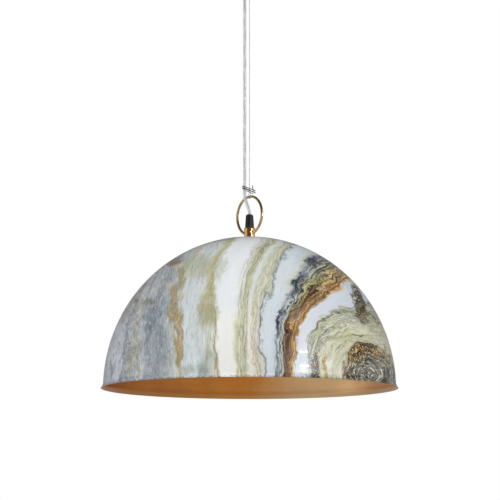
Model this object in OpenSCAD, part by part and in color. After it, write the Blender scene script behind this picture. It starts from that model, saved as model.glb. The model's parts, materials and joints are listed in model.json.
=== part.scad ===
// Dome pendant light with a marble-effect shade, hung on a wire with a ring and collar, from a ceiling rose.
// Sizes are in millimetres. The origin is on the ceiling at the middle of the rose, and Z points up.

/* [Shade] */
// Diameter across the flared lip
shade_d = 450; // [360:1:560]
// Height from the lip to the outside of the crown
shade_h = 231; // [215:1:300]
// Thickness of the spun metal
shade_wall = 1; // [0.8:0.1:3]
// How far the lip flares out from the dome
rim_flare = 3.5; // [1:0.5:8]
// Height over which the lip flares
rim_flare_h = 8; // [4:1:20]
// Thickness of the copper leaf inside the dome
lining_t = 0.2; // [0.1:0.1:1]

/* [Ceiling rose] */
// Diameter of the canopy
canopy_d = 110; // [90:1:140]
// Depth of the canopy
canopy_h = 28; // [26:1:50]
// Thickness of the canopy's metal
canopy_wall = 1.2; // [0.8:0.1:2]
// Radius of the canopy's lower corner
canopy_corner = 10; // [4:1:16]
// Width of the ceiling bracket
bracket_w = 18; // [16:1:24]
// Thickness of the ceiling bracket
bracket_t = 1.5; // [1:0.1:3]
// Distance between the two ceiling screws
ceiling_screw_pitch = 60; // [58:1:66]
// Width of each ceiling screw slot
ceiling_slot_w = 4.5; // [3.5:0.5:6]
// End to end length of each ceiling screw slot
ceiling_slot_l = 10; // [8:1:12]
// Diameter of the screws that hold the canopy
canopy_screw_d = 4; // [3:0.5:5]
// Depth of the cord outlet below the canopy
outlet_h = 8; // [6:1:14]

/* [Suspension] */
// Distance from the canopy's underside to the crown of the shade
drop = 390; // [250:1:2000]
// Diameter of the steel suspension wire
wire_d = 1; // [0.8:0.1:1.2]
// Diameter of the clear flex
flex_d = 5.2; // [4.6:0.1:5.6]
// Diameter of each insulated core in the flex
core_d = 2.1; // [1.8:0.1:2.4]
// Sideways distance from the wire to the flex
flex_offset = 7.6; // [6.6:0.1:8]
// Diameter of the wire that ties the flex to the suspension wire
tie_d = 1.5; // [1:0.1:1.8]
// Reach of the tie past the suspension wire
tie_reach = 5.4; // [4:0.1:8]
// Height from one turn of the tie to the next
tie_pitch = 2.9; // [2.5:0.1:4]

/* [Ring and collar] */
// Outside diameter of the ring
ring_od = 62.5; // [52:0.5:80]
// Diameter of the ring's wire
ring_wire_d = 4; // [3:0.1:4.4]
// Turn of the ring about the vertical
ring_turn = -50; // [-90:1:90]
// Diameter of the collar on the crown
collar_d = 16.5; // [16:0.5:24]
// Height of the collar
collar_h = 16; // [15.5:0.5:20]
// Height of the ring's pivots above the crown
pivot_h = 7.4; // [7.4:0.1:7.6]
// Height of the cord grip above the collar
grip_h = 20; // [16:1:26]
// Diameter of the cord grip at its foot
grip_base_d = 13.6; // [13:0.1:15]
// Diameter of the cord grip at its top
grip_top_d = 11.4; // [9:0.1:12.4]

/* [Fixings under the crown] */
// Diameter of the threaded tube through the crown
nipple_d = 10; // [10:0.1:10.4]
// Bore of the threaded tube
nipple_bore = 7; // [6:0.1:7.6]
// Diameter of the washer under the crown
washer_d = 24; // [20:1:40]
// Thickness of the washer
washer_t = 1; // [0.5:0.1:3]
// Thickness of the locking washer
lock_washer_t = 1.2; // [0.8:0.1:2]
// Thickness of the hexagon nut
nut_t = 3.5; // [2.5:0.5:6]

/* [Lampholder] */
// Outside diameter of the lampholder
holder_d = 39; // [38:1:46]
// Length of the lampholder's cap
holder_cap_l = 26; // [25:1:34]
// Length of the lampholder's body below its cap
holder_body_l = 30; // [26:1:30]
// Bore of the lampholder's mouth
holder_mouth_d = 28; // [27.8:0.1:31]

/* [Bulb] */
// Diameter of the globe
bulb_d = 95; // [80:1:120]
// Length of the bulb from its contact to the bottom of the globe
bulb_l = 138; // [134:1:165]
// Thickness of the glass
glass_t = 0.8; // [0.5:0.1:1.2]
// Diameter across the crests of the cap's thread
bulb_thread_d = 26.2; // [25.8:0.1:26.4]

/* [Hidden] */
$fn = 64;

// Clearances
slip = 0.1;          // between pieces that are pushed or screwed together
pivot_slip = 0.08;   // round the ring's pivots
cord_slip = 0.15;    // round a cord in its hole
seat_gap = 0.1;      // under a flat washer on the curved crown

// Heights down from the ceiling
canopy_r = canopy_d / 2;
pivot_depth = 1.5;   // the cords bend this far inside the mouth of the outlet
z_mouth = -canopy_h - outlet_h;
z_swing = z_mouth + pivot_depth;
z_crown = -canopy_h - drop;
z_rim = z_crown - shade_h;

// Ceiling rose
wire_hole_d = wire_d + 0.8;
flex_hole_d = flex_d + 0.7;
mouth_spread = 1;
outlet_neck_r = flex_offset + flex_hole_d / 2 + 1.5;
outlet_foot_round = 1.5;
outlet_foot_r = flex_offset + flex_hole_d / 2 + mouth_spread + outlet_foot_round + 0.5;
outlet_flange_r = outlet_foot_r + 1.6;
outlet_flange_t = 3;
outlet_nut_t = 3.5;
outlet_nut_flats = 2 * outlet_neck_r + 4.5;
outlet_neck_top = -canopy_h + canopy_wall + outlet_nut_t + 1;
outlet_screw_d = 3;
outlet_screw_z = -canopy_h - outlet_flange_t / 2;
tab_h = 12;
tab_x = sqrt(pow(canopy_r - canopy_wall, 2) - pow(bracket_w / 2, 2)) - 0.2;
canopy_screw_z = -8;
canopy_screw_head_d = 8;
canopy_screw_head_t = 4;
anchor_flats = 10;
anchor_h = 10;
anchor_spigot_d = 6;
anchor_screw_d = 3;
anchor_screw_z = -bracket_t - 5.5;
block_x = 15;
block_l = 15;
block_w = 17;
block_h = 12;
block_pitch = 8;
block_way_z = -bracket_t - 6.5;
sleeve_d = 4.2;
sleeve_l = 13;
sleeve_bore = core_d + 0.3;
clamp_screw_d = 2.4;
block_screw_d = 2.6;
sheath_end_z = -17;

// Ring, collar and grip, above the crown
ring_r = (ring_od - ring_wire_d) / 2;
elbow_r = ring_wire_d / 2 + 0.05;
elbow_u = collar_d / 2 + elbow_r + 0.2;
elbow_drop = sqrt(ring_r * ring_r - elbow_u * elbow_u);
ring_centre_h = pivot_h + elbow_drop;
ring_top_h = ring_centre_h + ring_r;
elbow_angle = atan2(-elbow_drop, elbow_u);
passage_r = 3.4;
pin_end_u = passage_r + 1.2;
pin_hole_d = ring_wire_d + 2 * pivot_slip;
tube_top_h = pivot_h - pin_hole_d / 2 - 0.8;
spigot_d = 10;
spigot_foot_h = pivot_h + pin_hole_d / 2 + 0.7;
collar_round = 2.2;
collar_chamfer = 0.6;
grip_top_h = collar_h + grip_h;
grip_chamfer = 1.5;
grip_screw_d = 3.2;
grip_screw_h = collar_h + 6;

// Under the crown
inset = shade_wall + lining_t;
dome_a = shade_d / 2 - rim_flare;
crown_hole_d = nipple_d + 0.4;
washer_top = lining_height(washer_d / 2) - seat_gap;
lock_washer_d = 18;
nut_flats = 14;
nut_foot = washer_top - washer_t - lock_washer_t - nut_t;

// Lampholder, measured down from the nut's foot
holder_r = holder_d / 2;
neck_r = 8;
neck_l = 6;
shoulder_r = 10;
holder_wall = 2;
cap_thread_l = 7.2;
floor_t = 3;
body_foot = -holder_cap_l - holder_body_l;
base_t = 4;
base_foot = -holder_cap_l - floor_t - base_t;
shell_wall = 0.4;
shell_r = holder_mouth_d / 2 - 0.2;
rivet_r = 2;
tongue_t = 0.5;
sheath_foot = -9;
terminal_x = 9;
terminal_size = [6, 6, 7];
terminal_hole_d = core_d + 0.3;
terminal_screw_d = 2.4;
terminal_screw_head_d = 4;

// Bulb, measured down from its contact
bulb_top = base_foot - 2 * tongue_t - 0.1;
thread_r = bulb_thread_d / 2;
thread_depth = 0.8;
thread_pitch = 3.6;
thread_top = -4.6;
thread_turns = 4.5;
cap_skirt_l = 5;
cap_foot = thread_top - thread_turns * thread_pitch - cap_skirt_l;
cap_wall = 0.35;
neck_glass_r = thread_r - thread_depth - cap_wall - 0.15;
globe_r = bulb_d / 2;
globe_z = -bulb_l + globe_r;
shoulder_angle = 38;
filament_d = 1.8;
filament_top = [4.6, globe_z + 40];
filament_foot = [13, globe_z + 3];
support_d = 0.7;
stem_rod_r = 2;
stem_foot = globe_z + 1;

// The flex from the grip to the tie: shares of its sideways distance, its depth and its height
flex_bend_shape = [
    [0, 0, 0], [0, 0, 0.08], [0.06, -0.02, 0.18], [0.20, -0.06, 0.29], [0.39, -0.11, 0.41],
    [0.58, -0.14, 0.53], [0.76, -0.14, 0.65], [0.90, -0.10, 0.76], [0.98, -0.04, 0.85],
    [1, 0, 0.93], [1, 0, 1]];
flex_bend_top_h = ring_top_h + 5;

// The suspension wire's eye round the top of the ring, in the plane across the ring
eye_r = (ring_wire_d + wire_d) / 2 + cord_slip;
eye_leg = 0.8;       // half the distance between the eye's two legs in the ferrule
ferrule_foot_h = ring_top_h + 6.2;
ferrule_h = 5;
ferrule_wall = 0.6;
wire_join_h = ferrule_foot_h + ferrule_h + 4;
wire_tail_h = ferrule_foot_h + ferrule_h + 1.2;

// The tie: two turns round the flex and the wire, lower on the right, with a cut end that stands up
tie_turns = 2;
tie_steps = 24;
tie_bend_r = flex_d / 2 + tie_d / 2 + cord_slip;
tie_slope = 0.42;
tie_top_h = ring_top_h + 16.5;
tie_stub = [[5.6, 3.9, -1.6], [4.9, 3.4, 0.2], [4.6, 3.2, 2.2], [4.9, 3.1, 5]];

// The cores, from the flex's cut end to their terminals
core_gap = 0.1;
core_spread = core_d / 2 + 0.15;
live_x = -flex_offset + core_spread;
neutral_x = -flex_offset - core_spread;
canopy_live_route = [
    [live_x, 0, sheath_end_z + core_gap], [live_x, 0, -16.2], [live_x, 0, -15.5],
    [-5.6, -2.5, -13], [-3, -7.5, -11.2], [2, -12.5, -9.4], [8, -15, -8.2],
    [11, -12.5, -8], [11, -9, -8], [11, -4, -8]];
canopy_neutral_route = [
    [neutral_x, 0, sheath_end_z + core_gap], [neutral_x, 0, -16.2], [neutral_x, 0, -15.5],
    [-8.9, -3.5, -13.4], [-7.5, -10, -12], [-2, -17, -10.2], [7, -20.5, -8.8], [15, -19, -8],
    [19, -13.5, -8], [19, -9, -8], [19, -4, -8]];
holder_core_route = [
    [core_spread, 0, sheath_foot - core_gap], [core_spread, 0, -9.7], [core_spread, 0, -10.3],
    [2.6, 0, -12], [terminal_x - 2.6, 0, -14.2], [terminal_x, 0, 9 - holder_cap_l],
    [terminal_x, 0, 6.8 - holder_cap_l], [terminal_x, 0, 5 - holder_cap_l]];

// Outlines and curves

function arc(centre, r, from, to, steps = 8) =
    [for (i = [0 : steps]) let (a = from + (to - from) * i / steps) centre + r * [cos(a), sin(a)]];

function bezier(p0, p1, p2, p3, steps = 12) =
    [for (i = [0 : steps]) let (t = i / steps, s = 1 - t)
        s * s * s * p0 + 3 * s * s * t * p1 + 3 * s * t * t * p2 + t * t * t * p3];

function backwards(points) = [for (i = [len(points) - 1 : -1 : 0]) points[i]];

// Half an ellipse, with the lip turned out by the square of how near a point is to the rim
function dome_line(depth, steps = 46) =
    [for (i = [0 : steps]) let (
        t = 90 * pow(i / steps, 1.5),
        near_rim = max(0, 1 - shade_h * sin(t) / rim_flare_h))
        [(dome_a - depth) * cos(t) + rim_flare * near_rim * near_rim, (shade_h - depth) * sin(t)]];

// Height of the lining's inner face above the crown's top, at a radius
function lining_height(r) =
    -inset - (shade_h - inset) * (1 - sqrt(1 - pow(r / (dome_a - inset), 2)));

function smooth_route(points, steps = 5) =
    let (last = len(points) - 1)
    concat([for (i = [0 : last - 1]) let (
        before = points[max(i - 1, 0)], from = points[i],
        to = points[i + 1], after = points[min(i + 2, last)])
        for (k = [0 : steps - 1]) let (t = k / steps)
            from + t * (to - before) / 2
            + t * t * (before - 2.5 * from + 2 * to - after / 2)
            + t * t * t * (-before / 2 + 1.5 * from - 1.5 * to + after / 2)
    ], [points[last]]);

function unit(v) = v / norm(v);

function direction(path, i) = unit(path[min(i + 1, len(path) - 1)] - path[max(i - 1, 0)]);

function square_to(v, along) = unit(v - (v * along) * along);

// Carries one side vector along a path without twisting it
function side_vectors(path, first) =
    [for (i = 0, side = square_to(first, direction(path, 0));
          i < len(path);
          i = i + 1, side = i < len(path) ? square_to(side, direction(path, i)) : side) side];

// Least distance between stretches of a path that are more than some steps apart
function nearest_turns(path, apart) =
    min([for (i = [0 : len(path) - apart - 1])
        for (j = [i + apart : len(path) - 1]) norm(path[i] - path[j])]);

module lathe(outline) {
    rotate_extrude() polygon(outline);
}

module tube_along(path, d, sides = 8, first = [0, 1, 0]) {
    across = side_vectors(path, first);
    rings = len(path);
    points = [for (i = [0 : rings - 1]) let (along = direction(path, i), other = cross(along, across[i]))
        for (k = [0 : sides - 1]) let (a = 360 * k / sides)
            path[i] + d / 2 * (cos(a) * across[i] + sin(a) * other)];
    walls = [for (i = [0 : rings - 2]) for (k = [0 : sides - 1]) let (
        a = i * sides + k, b = i * sides + (k + 1) % sides)
        for (f = [[a, b + sides, b], [a, a + sides, b + sides]]) f];
    ends = [for (k = [1 : sides - 2]) for (f = [[0, k, k + 1],
        [(rings - 1) * sides, (rings - 1) * sides + k + 1, (rings - 1) * sides + k]]) f];
    polyhedron(points, concat(walls, ends));
}

module along_x(d, from, to) {
    translate([from, 0, 0]) rotate([0, 90, 0]) cylinder(d = d, h = to - from);
}

module along_y(d, from, to) {
    translate([0, to, 0]) rotate([90, 0, 0]) cylinder(d = d, h = to - from);
}

module on_both_sides() {
    for (side = [0, 180]) rotate([0, 0, side]) children();
}

module at_crown() {
    translate([0, 0, z_crown]) children();
}

module at_holder() {
    translate([0, 0, z_crown + nut_foot - slip]) children();
}

module at_bulb() {
    at_holder() translate([0, 0, bulb_top]) children();
}

// Ceiling rose

module slot(width, length, depth) {
    for (x = [-1, 1]) translate([x * (length - width) / 2, 0, -depth]) cylinder(d = width, h = depth + 1);
    translate([-(length - width) / 2, -width / 2, -depth]) cube([length - width, width, depth + 1]);
}

module ceiling_bracket() {
    color("silver") difference() {
        union() {
            translate([-tab_x, -bracket_w / 2, -bracket_t]) cube([2 * tab_x, bracket_w, bracket_t]);
            on_both_sides() translate([tab_x - bracket_t, -bracket_w / 2, -tab_h])
                cube([bracket_t, bracket_w, tab_h]);
        }
        for (x = [-1, 1]) translate([x * ceiling_screw_pitch / 2, 0, 0])
            slot(ceiling_slot_w, ceiling_slot_l, bracket_t + 1);
        translate([0, 0, -bracket_t - 1]) cylinder(d = anchor_spigot_d + slip, h = bracket_t + 2);
        translate([block_x, 0, -bracket_t - 1]) cylinder(d = block_screw_d + slip, h = bracket_t + 2);
        on_both_sides() translate([0, 0, canopy_screw_z])
            along_x(canopy_screw_d + slip, tab_x - bracket_t - 1, tab_x + 1);
    }
}

module canopy() {
    corner = [canopy_r - canopy_corner, -canopy_h + canopy_corner];
    hole_r = outlet_neck_r + slip;
    color("peru") difference() {
        lathe(concat(
            [[canopy_r, 0]], arc(corner, canopy_corner, 0, -90),
            [[hole_r, -canopy_h], [hole_r, -canopy_h + canopy_wall]],
            arc(corner, canopy_corner - canopy_wall, -90, 0), [[canopy_r - canopy_wall, 0]]));
        on_both_sides() translate([0, 0, canopy_screw_z])
            along_x(canopy_screw_d + 2 * slip, canopy_r - canopy_wall - 2, canopy_r + 2);
    }
}

module canopy_screws() {
    color("peru") on_both_sides() translate([0, 0, canopy_screw_z]) {
        along_x(canopy_screw_d, tab_x - bracket_t - 3, canopy_r + 1);
        translate([canopy_r, 0, 0]) rotate([0, 90, 0])
            cylinder(d = canopy_screw_head_d, h = canopy_screw_head_t, $fn = 12);
    }
}

module cord_outlet() {
    foot_centre = [outlet_foot_r - outlet_foot_round, z_mouth + outlet_foot_round];
    color("dimgray") difference() {
        lathe(concat(
            [[0, outlet_neck_top], [outlet_neck_r, outlet_neck_top], [outlet_neck_r, -canopy_h],
                [outlet_flange_r, -canopy_h], [outlet_flange_r, -canopy_h - outlet_flange_t]],
            arc(foot_centre, outlet_foot_round, 0, -90, 6), [[0, z_mouth]]));
        cord_hole(0, wire_hole_d);
        cord_hole(-flex_offset, flex_hole_d);
        translate([-flex_offset, 0, outlet_screw_z]) along_y(outlet_screw_d + slip, 0, outlet_flange_r);
    }
}

// A hole through the outlet whose mouth spreads, so that the cord can swing
module cord_hole(x, d) {
    translate([x, 0, z_mouth - 1]) cylinder(d = d, h = outlet_neck_top - z_mouth + 2);
    translate([x, 0, z_mouth - 0.01])
        cylinder(d1 = d + 2 * mouth_spread, d2 = d, h = pivot_depth + 1);
}

module outlet_nut() {
    color("silver") translate([0, 0, -canopy_h + canopy_wall]) difference() {
        cylinder(d = outlet_nut_flats / cos(30), h = outlet_nut_t, $fn = 6);
        translate([0, 0, -1]) cylinder(r = outlet_neck_r + slip, h = outlet_nut_t + 2);
    }
}

module outlet_screw() {
    edge = sqrt(pow(outlet_flange_r, 2) - pow(flex_offset + outlet_screw_d / 2, 2));
    color("ivory") translate([-flex_offset, 0, outlet_screw_z]) difference() {
        along_y(outlet_screw_d, flex_d / 2 + 0.05, edge - 0.2);
        translate([-0.3, edge - 1.2, -outlet_screw_d]) cube([0.6, 2, 2 * outlet_screw_d]);
    }
}

module wire_anchor() {
    color("goldenrod") difference() {
        union() {
            translate([0, 0, -bracket_t - anchor_h])
                cylinder(d = anchor_flats / cos(30), h = anchor_h, $fn = 6);
            translate([0, 0, -bracket_t - 1]) cylinder(d = anchor_spigot_d, h = bracket_t + 1);
        }
        translate([0, 0, -bracket_t - anchor_h - 1]) cylinder(d = wire_d + slip, h = anchor_h - 1);
        translate([0, 0, anchor_screw_z]) along_y(anchor_screw_d + slip, 0, anchor_flats);
    }
}

module anchor_screw() {
    color("silver") translate([0, 0, anchor_screw_z]) difference() {
        along_y(anchor_screw_d, wire_d / 2 + 0.03, anchor_flats / 2 - 0.2);
        translate([0, anchor_flats / 2, 0]) rotate([90, 0, 0]) cylinder(d = 1.7, h = 1.6, $fn = 6);
    }
}

module each_way() {
    for (side = [-1, 1]) translate([block_x + side * block_pitch / 2, 0, block_way_z]) children();
}

module terminal_block() {
    foot = -bracket_t - block_h;
    color("ivory") difference() {
        translate([block_x - block_l / 2, -block_w / 2, foot]) cube([block_l, block_w, block_h]);
        each_way() along_y(sleeve_d + slip, -block_w, block_w);
        each_way() for (y = [-1, 1]) translate([0, y * sleeve_l / 4, -block_h])
            cylinder(d = clamp_screw_d + slip, h = block_h);
        translate([block_x, 0, foot - 1]) cylinder(d = block_screw_d + slip, h = block_h + 2);
    }
}

module terminal_sleeves() {
    color("gold") each_way() difference() {
        along_y(sleeve_d, -sleeve_l / 2, sleeve_l / 2);
        along_y(sleeve_bore, -sleeve_l, sleeve_l);
        for (y = [-1, 1]) translate([0, y * sleeve_l / 4, -sleeve_d])
            cylinder(d = clamp_screw_d + slip, h = sleeve_d);
    }
}

// The four clamp screws of the block, and the one that holds it to the bracket
module terminal_block_screws() {
    foot = -bracket_t - block_h;
    color("silver") {
        for (side = [-1, 1]) for (y = [-1, 1])
            translate([block_x + side * block_pitch / 2, y * sleeve_l / 4, foot + 1])
                cylinder(d = clamp_screw_d, h = block_way_z - sleeve_bore / 2 - foot - 1.05);
        translate([block_x, 0, foot - 0.5]) cylinder(d = block_screw_d, h = block_h + bracket_t);
        translate([block_x, 0, foot - 1.5]) cylinder(d = 4.6, h = 1.5);
    }
}

module wire_in_canopy() {
    top = -bracket_t - 3;
    color("lightgray") translate([0, 0, z_swing + 0.4]) cylinder(d = wire_d, h = top - z_swing - 0.4);
}

module flex_in_canopy() {
    foot = z_swing + 1.3;
    color("gainsboro") translate([-flex_offset, 0, foot]) cylinder(d = flex_d, h = sheath_end_z - foot);
}

module canopy_live_core() {
    color("silver") tube_along(smooth_route(canopy_live_route), core_d, 8, [1, 0, 0]);
}

module canopy_neutral_core() {
    color("silver") tube_along(smooth_route(canopy_neutral_route), core_d, 8, [1, 0, 0]);
}

// Wire, flex and ring

// Points in the plane across the ring: sideways and up from the crown
function across_ring(s, h) = [-s * sin(ring_turn), s * cos(ring_turn), z_crown + h];

module suspension_wire() {
    centre_h = ring_top_h;
    eye = [for (a = [180 : 15 : 360]) across_ring(eye_r * cos(a), centre_h + eye_r * sin(a))];
    path = concat(
        [[0, 0, z_swing], [0, 0, (z_swing + z_crown + wire_join_h) / 2], across_ring(0, wire_join_h),
            across_ring(-eye_leg * 0.5, wire_join_h - 2),
            across_ring(-eye_leg, ferrule_foot_h + ferrule_h + 0.6),
            across_ring(-eye_leg, ferrule_foot_h), across_ring(-eye_leg - 0.5, ferrule_foot_h - 1.6),
            across_ring(-eye_r + 0.3, centre_h + 2.2)],
        eye,
        [across_ring(eye_r - 0.3, centre_h + 2.2), across_ring(eye_leg + 0.5, ferrule_foot_h - 1.6),
            across_ring(eye_leg, ferrule_foot_h), across_ring(eye_leg, wire_tail_h)]);
    color("lightgray") tube_along(path, wire_d, 8, [cos(ring_turn), sin(ring_turn), 0]);
}

module wire_ferrule() {
    bore = wire_d + slip;
    outer = bore + 2 * ferrule_wall;
    color("gray") translate([0, 0, z_crown + ferrule_foot_h]) rotate([0, 0, ring_turn]) difference() {
        union() {
            for (y = [-1, 1]) translate([0, y * eye_leg, 0]) cylinder(d = outer, h = ferrule_h);
            translate([-outer / 2, -eye_leg, 0]) cube([outer, 2 * eye_leg, ferrule_h]);
        }
        for (y = [-1, 1]) translate([0, y * eye_leg, -1]) cylinder(d = bore, h = ferrule_h + 2);
    }
}

// A racetrack round the flex and past the wire: the straight sides join two half circles
function racetrack(share) =
    let (
        left = -flex_offset, right = tie_reach, run = right - left, bend = PI * tie_bend_r,
        s = (share - floor(share)) * 2 * (run + bend))
    s < run ? [right - s, tie_bend_r]
    : s < run + bend ? let (a = 90 + 180 * (s - run) / bend) [left + tie_bend_r * cos(a), tie_bend_r * sin(a)]
    : s < 2 * run + bend ? [left + s - run - bend, -tie_bend_r]
    : let (a = -90 + 180 * (s - 2 * run - bend) / bend) [right + tie_bend_r * cos(a), tie_bend_r * sin(a)];

tie_path = concat(
    [for (i = [0 : tie_turns * tie_steps]) let (share = i / tie_steps, p = racetrack(share))
        [p.x, p.y, tie_top_h - tie_pitch * (tie_turns - share) - tie_slope * (p.x + flex_offset)]],
    [for (p = tie_stub) p + [0, 0, tie_top_h - tie_slope * (tie_reach + flex_offset) + 2.2]]);

module flex_tie() {
    echo(gap_between_tie_turns = nearest_turns(tie_path, tie_steps / 2) - tie_d);
    color("darkslategray") at_crown() tube_along(tie_path, tie_d, 6, [0, 0, 1]);
}

module flex_drop() {
    foot = z_crown + flex_bend_top_h;
    color("gainsboro") tube_along(
        [for (share = [0 : 0.25 : 1]) [-flex_offset, 0, foot + share * (z_swing - foot)]], flex_d, 12);
}

module flex_bend() {
    rise = flex_bend_top_h - grip_top_h - 0.1;
    route = [for (p = flex_bend_shape)
        [-flex_offset * p[0], flex_offset * p[1], grip_top_h + 0.05 + rise * p[2]]];
    color("gainsboro") at_crown() tube_along(route, flex_d, 12);
}

module hanging_ring() {
    color("peru") at_crown() rotate([0, 0, ring_turn]) union() {
        translate([0, 0, ring_centre_h]) rotate([90, 0, 0]) rotate([0, 0, elbow_angle])
            rotate_extrude(angle = 180 - 2 * elbow_angle) translate([ring_r, 0]) circle(d = ring_wire_d);
        on_both_sides() translate([0, 0, pivot_h]) {
            along_x(ring_wire_d, pin_end_u, elbow_u);
            translate([elbow_u, 0, 0]) sphere(r = elbow_r);
        }
    }
}

// Collar and grip

module collar() {
    r = collar_d / 2;
    color("peru") at_crown() difference() {
        lathe(concat(
            [[passage_r, 0], [r - collar_chamfer, 0], [r, collar_chamfer]],
            arc([r - collar_round, collar_h - collar_round], collar_round, 0, 90, 6),
            [[passage_r, collar_h]]));
        translate([0, 0, -1]) cylinder(d = nipple_d + slip, h = tube_top_h + 1);
        translate([0, 0, spigot_foot_h]) cylinder(d = spigot_d + slip, h = collar_h);
        rotate([0, 0, ring_turn]) on_both_sides() translate([0, 0, pivot_h])
            along_x(pin_hole_d, pin_end_u - 0.2, collar_d);
    }
}

module cord_grip() {
    bore_r = flex_d / 2 + cord_slip;
    base_r = grip_base_d / 2;
    top_r = grip_top_d / 2;
    color("black") at_crown() difference() {
        lathe([[bore_r, spigot_foot_h + 0.2], [spigot_d / 2, spigot_foot_h + 0.2], [spigot_d / 2, collar_h],
            [base_r, collar_h], [base_r, collar_h + 3], [top_r, grip_top_h - grip_chamfer],
            [top_r - grip_chamfer, grip_top_h], [bore_r, grip_top_h]]);
        translate([0, 0, grip_screw_h]) along_y(grip_screw_d + slip, 0, grip_base_d);
    }
}

module grip_screw() {
    end = grip_top_d / 2;
    color("ivory") at_crown() translate([0, 0, grip_screw_h]) difference() {
        along_y(grip_screw_d, flex_d / 2 + 0.05, end);
        translate([-0.3, end - 1, -grip_screw_d]) cube([0.6, 2, 2 * grip_screw_d]);
    }
}

module flex_in_shade() {
    foot = nut_foot - slip + sheath_foot;
    color("gainsboro") at_crown() translate([0, 0, foot]) cylinder(d = flex_d, h = grip_top_h - foot);
}

module threaded_tube() {
    foot = nut_foot - cap_thread_l;
    color("gold") at_crown() translate([0, 0, foot]) difference() {
        cylinder(d = nipple_d, h = tube_top_h - slip - foot);
        translate([0, 0, -1]) cylinder(d = nipple_bore, h = tube_top_h - foot + 2);
    }
}

// Shade

module dome_layer(outside, inside) {
    translate([0, 0, z_rim]) difference() {
        lathe(concat(dome_line(outside), backwards(dome_line(inside))));
        translate([0, 0, shade_h - 20]) cylinder(d = crown_hole_d, h = 40);
    }
}

module shade() {
    color("whitesmoke") dome_layer(0, shade_wall);
}

module shade_lining() {
    color("chocolate") dome_layer(shade_wall, inset);
}

module crown_washer() {
    color("silver") at_crown() translate([0, 0, washer_top - washer_t]) difference() {
        cylinder(d = washer_d, h = washer_t);
        translate([0, 0, -1]) cylinder(d = nipple_d + 4 * slip, h = washer_t + 2);
    }
}

module lock_washer() {
    notch = 1.4;
    color("silver") at_crown() translate([0, 0, washer_top - washer_t - lock_washer_t]) difference() {
        cylinder(d = lock_washer_d, h = lock_washer_t);
        translate([0, 0, -1]) cylinder(d = nipple_d + 4 * slip, h = lock_washer_t + 2);
        translate([0, -notch / 2, -1]) cube([lock_washer_d, notch, lock_washer_t + 2]);
    }
}

module crown_nut() {
    color("silver") at_crown() translate([0, 0, nut_foot]) difference() {
        cylinder(d = nut_flats / cos(30), h = nut_t, $fn = 6);
        translate([0, 0, -1]) cylinder(d = nipple_d + slip, h = nut_t + 2);
    }
}

// Lampholder

module holder_cap() {
    centre = [holder_r - shoulder_r, -neck_l - shoulder_r];
    bore_r = (nipple_d + slip) / 2;
    color("black") at_holder() lathe(concat(
        [[bore_r, 0], [neck_r, 0], [neck_r, -neck_l]], arc(centre, shoulder_r, 90, 0),
        [[holder_r, -holder_cap_l], [holder_r - holder_wall, -holder_cap_l]],
        arc(centre, shoulder_r - holder_wall, 0, 90), [[bore_r, -neck_l - holder_wall]]));
}

module holder_body() {
    mouth_r = holder_mouth_d / 2;
    spigot_r = holder_r - holder_wall - slip;
    color("black") at_holder() lathe([
        [rivet_r + slip, -holder_cap_l - floor_t], [mouth_r, -holder_cap_l - floor_t], [mouth_r, body_foot],
        [holder_r - 2, body_foot], [holder_r, body_foot + 2], [holder_r, -holder_cap_l],
        [spigot_r, -holder_cap_l], [spigot_r, -holder_cap_l + 2], [spigot_r - 1.8, -holder_cap_l + 2],
        [spigot_r - 1.8, -holder_cap_l], [rivet_r + slip, -holder_cap_l]]);
}

module contact_base() {
    color("white") at_holder() translate([0, 0, base_foot]) difference() {
        cylinder(r = shell_r, h = base_t);
        translate([0, 0, -1]) cylinder(r = rivet_r + slip, h = base_t + 2);
    }
}

module centre_contact() {
    rivet_top = -holder_cap_l + 0.6;
    color("gold") at_holder() {
        translate([0, 0, base_foot - tongue_t]) cylinder(r = rivet_r, h = rivet_top - base_foot + tongue_t);
        translate([0, 0, rivet_top - 0.6]) cylinder(r = rivet_r + 1, h = 0.6);
        translate([-rivet_r, -2.5, base_foot - tongue_t]) cube([9, 5, tongue_t]);
        translate([0, 0, base_foot - 2 * tongue_t]) cylinder(r = rivet_r, h = tongue_t + 0.1);
    }
}

module screw_shell() {
    top = base_foot;
    length = top - body_foot - 2;
    color("gold") at_holder() lathe([
        [shell_r, top], [shell_r, top - length], [shell_r - shell_wall, top - length],
        [shell_r - shell_wall, top]]);
}

module at_terminals() {
    on_both_sides() translate([terminal_x, 0, -holder_cap_l]) children();
}

module holder_terminals() {
    size = terminal_size;
    color("gold") at_holder() at_terminals() difference() {
        translate([-size.x / 2, -size.y / 2, 0]) cube(size);
        translate([0, 0, 1.6]) cylinder(d = terminal_hole_d, h = size.z);
        translate([0, 0, size.z / 2]) along_y(terminal_screw_d + slip, 0, size.y);
    }
}

module holder_terminal_screws() {
    size = terminal_size;
    color("silver") at_holder() at_terminals() translate([0, 0, size.z / 2]) {
        along_y(terminal_screw_d, core_d / 2 + 0.05, size.y / 2 + 0.2);
        along_y(terminal_screw_head_d, size.y / 2 + 0.02, size.y / 2 + 1.4);
    }
}

module holder_core() {
    at_holder() tube_along(smooth_route(holder_core_route), core_d, 8);
}

module holder_live_core() {
    color("silver") holder_core();
}

module holder_neutral_core() {
    color("silver") rotate([0, 0, 180]) holder_core();
}

// Bulb

// The globe, and the neck that runs up from it into the cap
function glass_line(depth) =
    let (
        r = globe_r - depth, neck = neck_glass_r - depth, a = shoulder_angle,
        shoulder = [r * cos(a), globe_z + r * sin(a)], top = cap_foot - 1)
    concat(
        arc([0, globe_z], r, -90, a, 28),
        bezier(shoulder, shoulder + 0.38 * globe_r * [-sin(a), cos(a)], [neck, top - 14], [neck, top], 12));

module bulb_glass() {
    neck_top = thread_top - 2.6;
    color("lightcyan", 0.3) at_bulb() lathe(concat(
        glass_line(0), [[neck_glass_r, neck_top], [neck_glass_r - glass_t, neck_top]],
        backwards(glass_line(glass_t))));
}

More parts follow.
